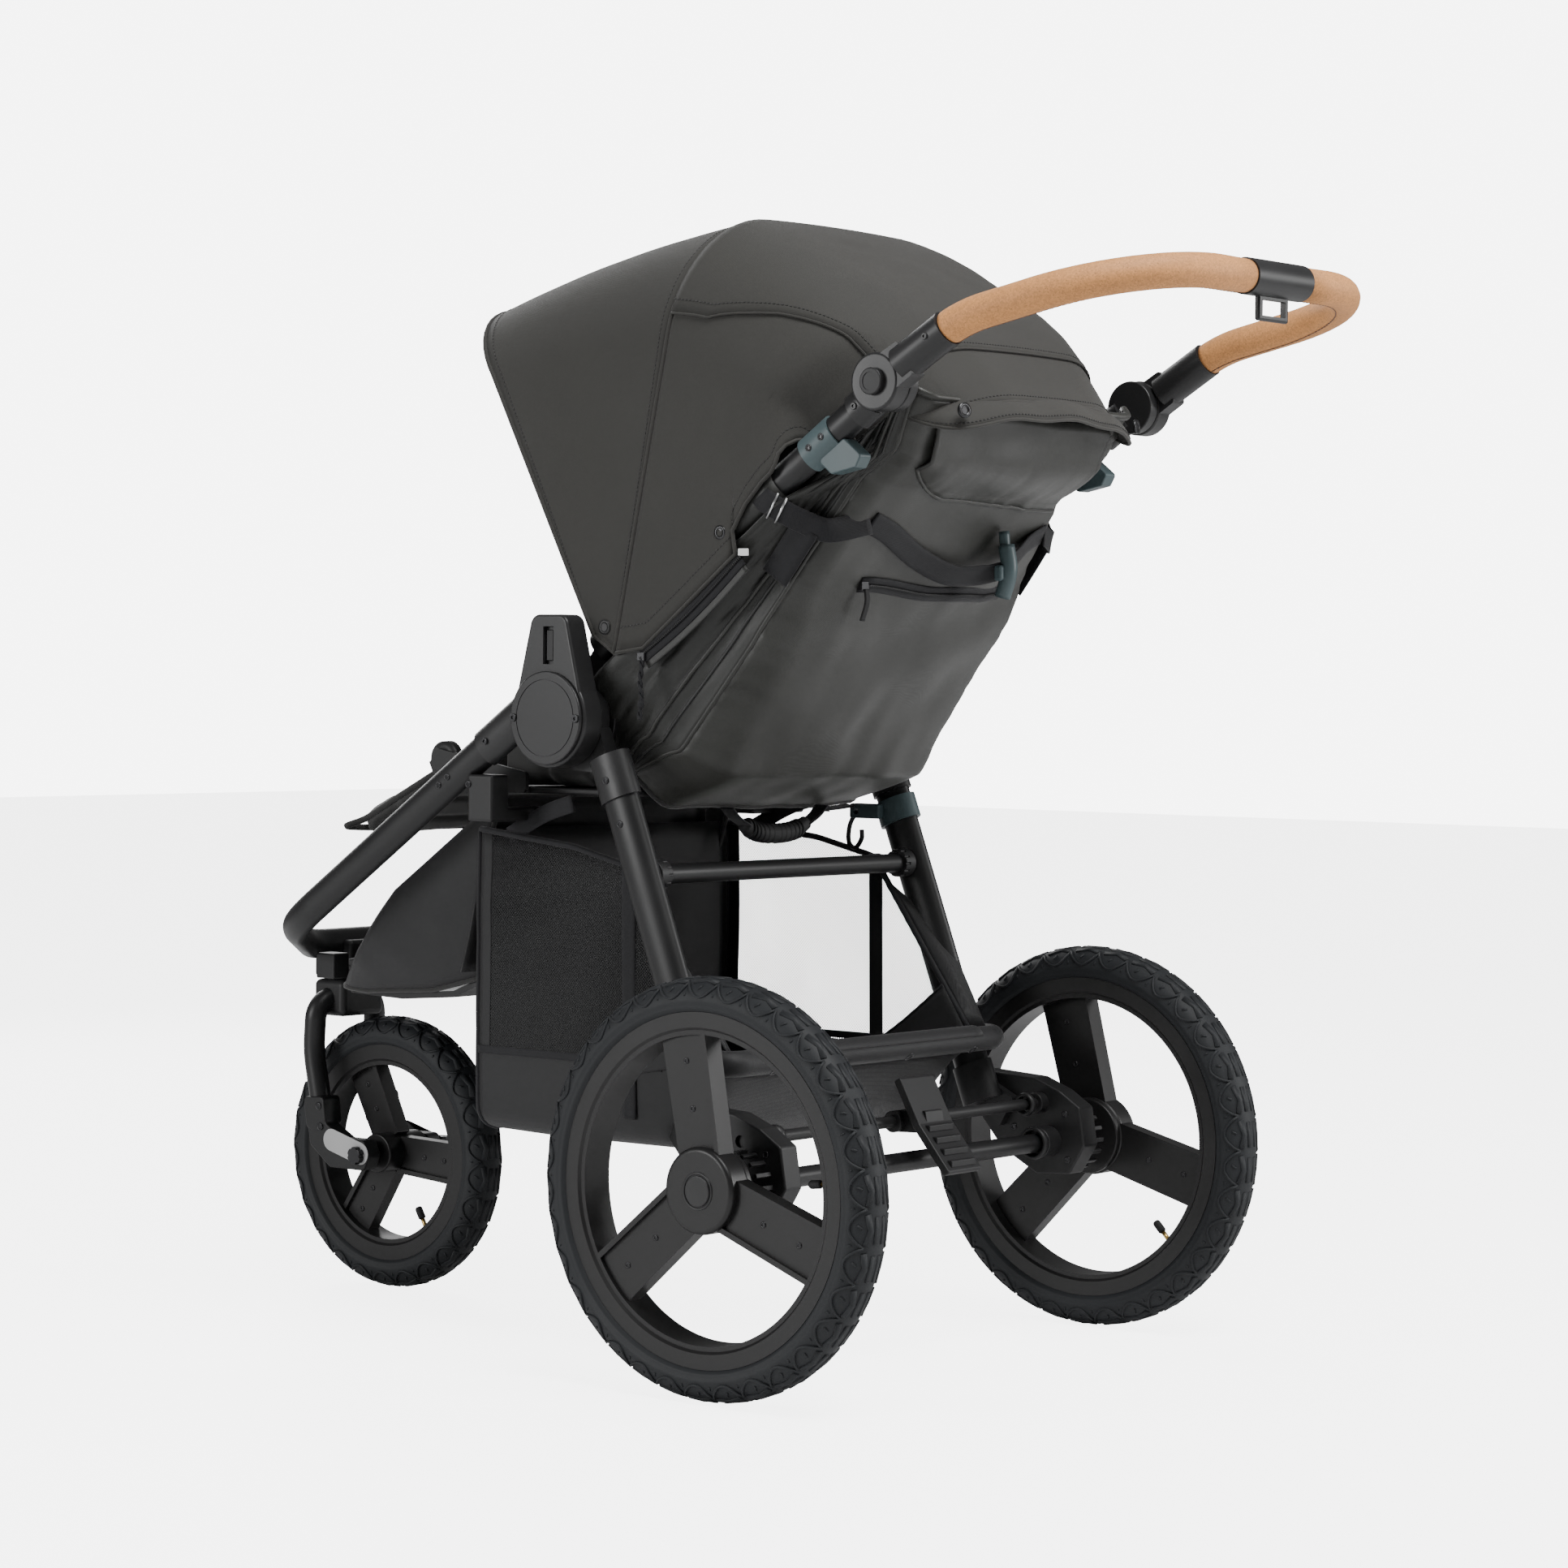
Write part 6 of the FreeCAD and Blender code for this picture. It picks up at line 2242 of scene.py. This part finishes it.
@dataclass
class Basket:
    """Hung basket: solid lower band, mesh above, webbing and a padded bar."""
    half: float = 0.199
    front: float = -0.189
    rear: float = 0.150
    corner: float = 0.026
    band: float = 0.302
    post_y: float = 0.018
    bar: Side = (0.171, 0.311)
    wrap: float = 0.0142

    def top(self, y: float) -> float:
        """Height of the side's upper edge."""
        return read([(-0.19, 0.530), (-0.06, 0.516), (0.018, 0.498), (0.085, 0.405),
                     (0.150, 0.316)], y)

    def bottom(self, y: float) -> float:
        """Height of the floor along the basket."""
        return read([(-0.19, 0.2200), (-0.10, 0.2175), (0.07, 0.2185), (0.100, 0.244),
                     (0.150, 0.300)], y)

    def section(self, y: float) -> list[Vector]:
        """U-shaped cross line from the left edge under the floor to the right edge.

        Args:
            y: place along the basket.

        Returns:
            Points of the line.
        """
        high, low = self.top(y), self.bottom(y)
        r = min(self.corner, (high - low) * 0.45)
        side = high - low - r
        points: list[Side] = []
        for k in range(15):
            points.append((self.half, high - side * k / 15))
        for k in range(7):
            a = math.pi / 2 * k / 6
            points.append((self.half - r + r * math.cos(a), low + r - r * math.sin(a)))
        for k in range(1, 13):
            points.append(((self.half - r) * (1 - k / 12), low))
        whole = points + [(-x, z) for x, z in reversed(points[:-1])]
        out = []
        for x, z in whole:
            up = min(max((z - low) / max(high - low, 1e-4), 0), 1)
            swell = 0.004 * math.sin(math.pi * up) * math.copysign(1, x)
            sag = -0.003 * math.cos(x * 7) if up == 0 else 0.0
            p = Vector((x + swell * 0.5, y, z + sag))
            p.x += crease(Vector((y, z, x)), 12.0, 0.0022, 4.0) * math.sin(math.pi * up)
            out.append(p)
        return out

    def shell(self) -> None:
        """Walls and floor, with bound edges and webbing."""
        rows = [self.section(lerp(self.front, self.rear, k / 40)) for k in range(41)]
        sheet = grid("sheet", rows)
        front = []
        for k in range(22):
            a, b = rows[0][k], rows[0][len(rows[0]) - 1 - k]
            front.append([a.lerp(b, i / 24) + Vector((0, -0.0016 * math.sin(math.pi * i / 24), 0))
                          for i in range(25)])
        wall = grid("wall", front)
        parts = []
        for part in (sheet, wall):
            thicken(part, 0.0016)
            dress(part, Finish.BLACK_CLOTH, Finish.MESH)
            for polygon in part.data.polygons:
                c = polygon.center
                open_mesh = c.z > self.band and c.y > self.front + 0.016
                polygon.material_index = 1 if open_mesh else 0
            parts.append(part)
        for line in ([r[0] for r in rows], [r[-1] for r in rows]):
            parts.append(dress(sweep("edge", line, circle(0.0034, 8)), Finish.WEBBING))
        parts.append(dress(sweep("lip", rows[-1], circle(0.0030, 8)), Finish.WEBBING))
        parts.append(dress(sweep("front_edge", rows[0], circle(0.0026, 8)), Finish.WEBBING))
        for sign in (1, -1):
            y = self.post_y
            line = [(sign * (self.half + 0.0035), y + 0.004 * k / 6, lerp(self.top(y), 0.245, k / 6))
                    for k in range(7)]
            parts.append(dress(webbing("post", line, 0.018, (1, 0, 0), 0.0016), Finish.WEBBING))
            band = [(sign * (self.half + 0.0030), lerp(self.front, 0.100, k / 10), self.band)
                    for k in range(11)]
            parts.append(dress(webbing("band", band, 0.008, (1, 0, 0), 0.0012), Finish.WEBBING))
            parts += self.corner_patch(sign)
        piece = join("basket_shell", parts)
        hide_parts("basket")
        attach(piece, "rear_frame")
        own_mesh(piece)

    def corner_patch(self, sign: int) -> list[bpy.types.Object]:
        """Bound cloth corner over the mesh, low at the rear of one side.

        Args:
            sign: 1 for left, -1 for right.

        Returns:
            The patches and their hems.
        """
        parts = []
        for x in (self.half + 0.0046, self.half - 0.0040):
            upper = [Vector((sign * x, lerp(0.026, 0.116, t), lerp(0.299, 0.364, t ** 1.15)))
                     for t in (k / 14 for k in range(15))]
            lower = [Vector((sign * x, lerp(0.034, 0.151, k / 14), lerp(0.292, 0.311, k / 14)))
                     for k in range(15)]
            rows = [[a.lerp(b, i / 8) for i in range(9)] for a, b in zip(upper, lower)]
            patch = grid("patch", rows)
            thicken(patch, 0.0014)
            parts.append(dress(patch, Finish.BLACK_CLOTH))
            parts.append(dress(sweep("hem", upper, circle(0.0018, 8)), Finish.WEBBING))
        return parts

    def straps(self) -> None:
        """Webbing that hangs the basket from the cross tube and the legs."""
        parts = []
        for side in (1, -1):
            front = [(side * 0.198, -0.150, 0.524), (side * 0.199, -0.100, 0.548),
                     (side * 0.200, -0.060, 0.560)]
            parts.append(dress(webbing("hanger", front, 0.018, (side, 0, 0)), Finish.WEBBING))
            rear = [(side * 0.199, 0.018, 0.500), (side * 0.196, 0.040, 0.497),
                    (side * 0.192, 0.054, 0.5035)]
            parts.append(dress(webbing("hanger", rear, 0.016, (0, 0, 1)), Finish.WEBBING))
            gusset = []
            for j in range(9):
                t = j / 8
                line = []
                for i in range(9):
                    s = i / 8
                    a = Vector((side * 0.200, lerp(0.040, 0.150, t), lerp(0.47, 0.318, t)))
                    b = Vector((side * lerp(0.226, 0.215, t), lerp(0.095, 0.158, t), lerp(0.42, 0.322, t)))
                    p = a.lerp(b, s)
                    p.y += 0.006 * math.sin(math.pi * s) * math.sin(math.pi * t)
                    line.append(p)
                gusset.append(line)
            wing = grid("gusset", gusset)
            thicken(wing, 0.0018)
            parts.append(dress(wing, Finish.BLACK_CLOTH))
        piece = join("basket_straps", parts)
        place(piece, "rear_frame", "fabric_black")

    def bar_sleeve(self) -> None:
        """Rivets on the padded bar, and the flap that wraps it."""
        spots = [((x, 0.1785, 0.3015), (0, 0.6, -0.75)) for x in (-0.165, -0.055, 0.055, 0.165)]
        place(heads("bar_rivets", spots, 0.0055, 0.0020, 0.0007), "rear_frame", "screw")
        rows = []
        for k in range(13):
            a = math.radians(lerp(20, 250, k / 12))
            rows.append([Vector((lerp(0.176, -0.176, i / 30), self.bar[0] + self.wrap * math.cos(a),
                                 self.bar[1] + self.wrap * math.sin(a))) for i in range(31)])
        wrap = grid("bar_wrap", rows)
        thicken(wrap, 0.0014)
        dress(wrap, Finish.BLACK_CLOTH)
        threads = stitches("thread", [p + Vector((0, 0.0, -0.0012)) for p in rows[-2]])
        place(join("bar_sleeve", [wrap, threads]), "rear_frame", "fabric_black")
        dress_nodes(Finish.BLACK_CLOTH, "basket_bar")

    def build(self) -> None:
        """Make every piece of the basket."""
        self.shell()
        self.straps()
        self.bar_sleeve()


@dataclass
class RearGear:
    """Carry handle, storage strap and small parts on the axle."""

    def carry_handle(self) -> None:
        """Ribbed rubber grip under the seat, with its webbing ends."""
        y = 0.042
        line = spline([(0.072, y, 0.548), (0.050, y, 0.538), (0.030, y, 0.5305), (0, y, 0.528),
                       (-0.030, y, 0.5305), (-0.050, y, 0.538), (-0.072, y, 0.548)], 8)
        grip = sweep("grip", line[8:41], circle(0.0100, 24),
                     size=lambda t: 0.75 + 0.25 * math.sin(math.pi * t))
        parts = [dress(grip, Finish.RUBBER)]
        for k in range(12):
            i = 11 + k * 2 + (1 if k > 5 else 0)
            ring_at = line[i]
            ring = lathe("rib", [(-0.0012, 0.0088), (0, 0.0108), (0.0012, 0.0088)], ring_at.x,
                         (ring_at.y, ring_at.z), 20)
            parts.append(dress(ring, Finish.RUBBER))
        for side in (1, -1):
            strap = [(side * 0.048, y, 0.537), (side * 0.066, y, 0.546), (side * 0.078, y, 0.556)]
            parts.append(dress(webbing("strap", strap, 0.018, (0, 0, 1)), Finish.WEBBING))
        piece = join("carry_grip", parts)
        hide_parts("carry_handle")
        place(piece, "chassis", "rubber")

    def storage_strap(self) -> None:
        """Strap and hook that hang by the right leg's clip."""
        y, z = on_leg(0.108)
        hook_at = (-0.206, y - 0.040, z)
        hook = [(-0.206, hook_at[1] - 0.004, z - 0.0005), (-0.204, hook_at[1] - 0.012, z - 0.016),
                (-0.200, hook_at[1] - 0.010, z - 0.034), (-0.196, hook_at[1] + 0.002, z - 0.040),
                (-0.194, hook_at[1] + 0.012, z - 0.030), (-0.193, hook_at[1] + 0.013, z - 0.020)]
        parts = [dress(cord_pipe("hook", hook, 0.0026), Finish.DARK_STEEL)]
        strap = [(-0.196, hook_at[1] - 0.006, z + 0.006), (-0.165, hook_at[1] - 0.002, z + 0.004),
                 (-0.120, hook_at[1] + 0.010, z + 0.003), (-0.086, y + 0.006, z + 0.004)]
        parts.append(dress(webbing("strap", strap, 0.012, (0, 0.2, 1)), Finish.WEBBING))
        piece = join("storage_strap", parts)
        place(piece, "rear_frame", "fabric_black")

    def housings(self) -> None:
        """Bolts and collars on the axle housings."""
        spots, parts = [], []
        for side in (1, -1):
            for dy, dz in ((-0.072, 0.045), (-0.046, 0.012), (0.020, 0.030), (0.024, -0.018)):
                for x, aim in ((0.2356, -side), (0.2622, side)):
                    spots.append(((side * x, REAR_AXLE[0] + dy, REAR_AXLE[1] + dz), (aim, 0, 0)))
            rod_y, rod_z = REAR_AXLE[0] - 0.012, REAR_AXLE[1] + 0.040
            for centre, radius in (((rod_y, rod_z), 0.0115), (REAR_AXLE, 0.0165)):
                ring = lathe("collar", [(0, radius - 0.003), (0, radius), (side * 0.004, radius + 0.001),
                                        (side * 0.009, radius - 0.001), (side * 0.009, radius - 0.003)],
                             side * 0.205, centre, 40)
                parts.append(dress(ring, Finish.PLASTIC))
        place(heads("housing_bolts", spots, 0.0034, 0.0014), "rear_frame", "screw")
        place(join("axle_collars", parts), "rear_frame", "plastic_black")

    def build(self) -> None:
        """Make every piece of the rear gear."""
        self.carry_handle()
        self.storage_strap()
        self.housings()


# ---------------------------------------------------------------- studio

@dataclass
class Studio:
    """Pale floor, soft lights and the camera."""
    place: Point = (3.26023, 2.69635, 0.69321)
    azimuth: float = 129.03
    elevation: float = 1.55
    roll: float = 0.6
    lens: float = 92.99

    def floor(self) -> None:
        """Large pale floor."""
        size = 14.0
        ground = new_piece("floor", [(-size, -size, 0), (size, -size, 0), (size, size, 0),
                                     (-size, size, 0)], [(0, 1, 2, 3)])
        material, g, shader = blank("pale floor")
        shader.inputs["Base Color"].default_value = (0.86, 0.86, 0.865, 1)
        shader.inputs["Roughness"].default_value = 0.55
        shader.inputs["Emission Color"].default_value = (1, 1, 1, 1)
        seen = g.add("ShaderNodeLightPath").outputs["Is Camera Ray"]
        g.tree.links.new(g.sum("MULTIPLY", seen, 4.6), shader.inputs["Emission Strength"])
        ground.data.materials.append(material)

    def light(self, name: str, at: Point, size: float, power: float, to: Point) -> None:
        """Square soft light aimed at a point.

        Args:
            name: light's name.
            at: where it is.
            size: length of a side.
            power: power in watts.
            to: point that it faces.
        """
        lamp = bpy.data.lights.new(name, "AREA")
        lamp.energy = power
        lamp.size = size
        holder = bpy.data.objects.new(name, lamp)
        holder.location = at
        holder.rotation_euler = (Vector(to) - Vector(at)).to_track_quat("-Z", "Y").to_euler()
        bpy.context.scene.collection.objects.link(holder)

    def lights(self) -> None:
        """White surroundings and four soft lights."""
        world = bpy.data.worlds.new("studio")
        world.use_nodes = True
        g = Graph(world.node_tree)
        seen = g.add("ShaderNodeLightPath").outputs["Is Camera Ray"]
        strength = g.sum("ADD", g.sum("MULTIPLY", seen, 6.5), 0.18)
        back = world.node_tree.nodes["Background"]
        back.inputs[0].default_value = (1.0, 1.0, 1.0, 1)
        g.tree.links.new(strength, back.inputs[1])
        bpy.context.scene.world = world
        self.light("key", (0.6, 1.6, 3.2), 1.5, 120.0, (0, 0.1, 0.6))
        self.light("side", (3.4, -1.6, 1.3), 1.3, 75.0, (0, 0, 0.5))
        self.light("rear", (-2.2, 3.2, 1.5), 1.2, 85.0, (0, 0.2, 0.5))
        self.light("front", (-1.6, -3.0, 2.0), 1.8, 60.0, (0, 0, 0.5))

    def camera(self) -> None:
        """Camera at the three-quarter rear view."""
        a, e = math.radians(self.azimuth), math.radians(self.elevation)
        back = Vector((math.sin(a) * math.cos(e), -math.cos(a) * math.cos(e), math.sin(e)))
        lens = bpy.data.cameras.new("camera")
        lens.lens = self.lens
        lens.sensor_width = 36.0
        lens.clip_end = 60.0
        holder = bpy.data.objects.new("camera", lens)
        turn = back.to_track_quat("Z", "Y").to_matrix().to_4x4()
        roll = Matrix.Rotation(math.radians(self.roll), 4, "Z")
        holder.matrix_world = Matrix.Translation(Vector(self.place)) @ turn @ roll
        bpy.context.scene.collection.objects.link(holder)
        bpy.context.scene.camera = holder

    def build(self) -> None:
        """Make the whole studio."""
        self.floor()
        self.lights()
        self.camera()


def wheels() -> list[tuple[Wheel, list, list]]:
    """Every wheel with the faces and distances of its spoke screws.

    Returns:
        (wheel, faces with screws, distances of the screws) for each wheel.
    """
    rear = dict(centre=REAR_AXLE, radius=0.2022, bead=0.166, width=0.0496)
    out_x = TRACK / 2
    reach = [0.078, 0.124]
    return [
        (Wheel("left_wheel", "rear_wheel_left", out_x, first_spoke=100.6, valve_angle=7.0,
               node_tyre="rear_tyre_left", node_rim="rear_rim_left", **rear),
         [(out_x + 0.0142, 1), (out_x - 0.0042, -1)], reach),
        (Wheel("right_wheel", "rear_wheel_right", -out_x, first_spoke=105.0, valve_angle=-46.0,
               node_tyre="rear_tyre_right", node_rim="rear_rim_right", **rear),
         [(-out_x - 0.0142, -1), (0.0042 - out_x, 1)], reach),
        (Wheel("front_wheel", "front_wheel", 0.0, FRONT_AXLE, 0.1515, 0.117, 0.0466, -3.0, -60.0,
               26, "front_tyre", "front_rim"), [(0.0082, 1), (-0.0082, -1)], [0.052, 0.082]),
    ]


def main() -> None:
    """Build the stroller and its studio."""
    logging.basicConfig(level=logging.INFO, format="%(name)s: %(message)s")
    Studio().build()
    for wheel, faces, reach in wheels():
        wheel.build(faces, reach)
    for side, label in SIDES:
        RearHub(side, label).build()
    tubing = Tubing()
    tubing.build()
    tubing.screws()
    tubing.hub_trim()
    Handle().build()
    Canopy().build()
    Seat().build()
    FrontEnd().build()
    Basket().build()
    RearGear().build()


if __name__ == "__main__":
    main()
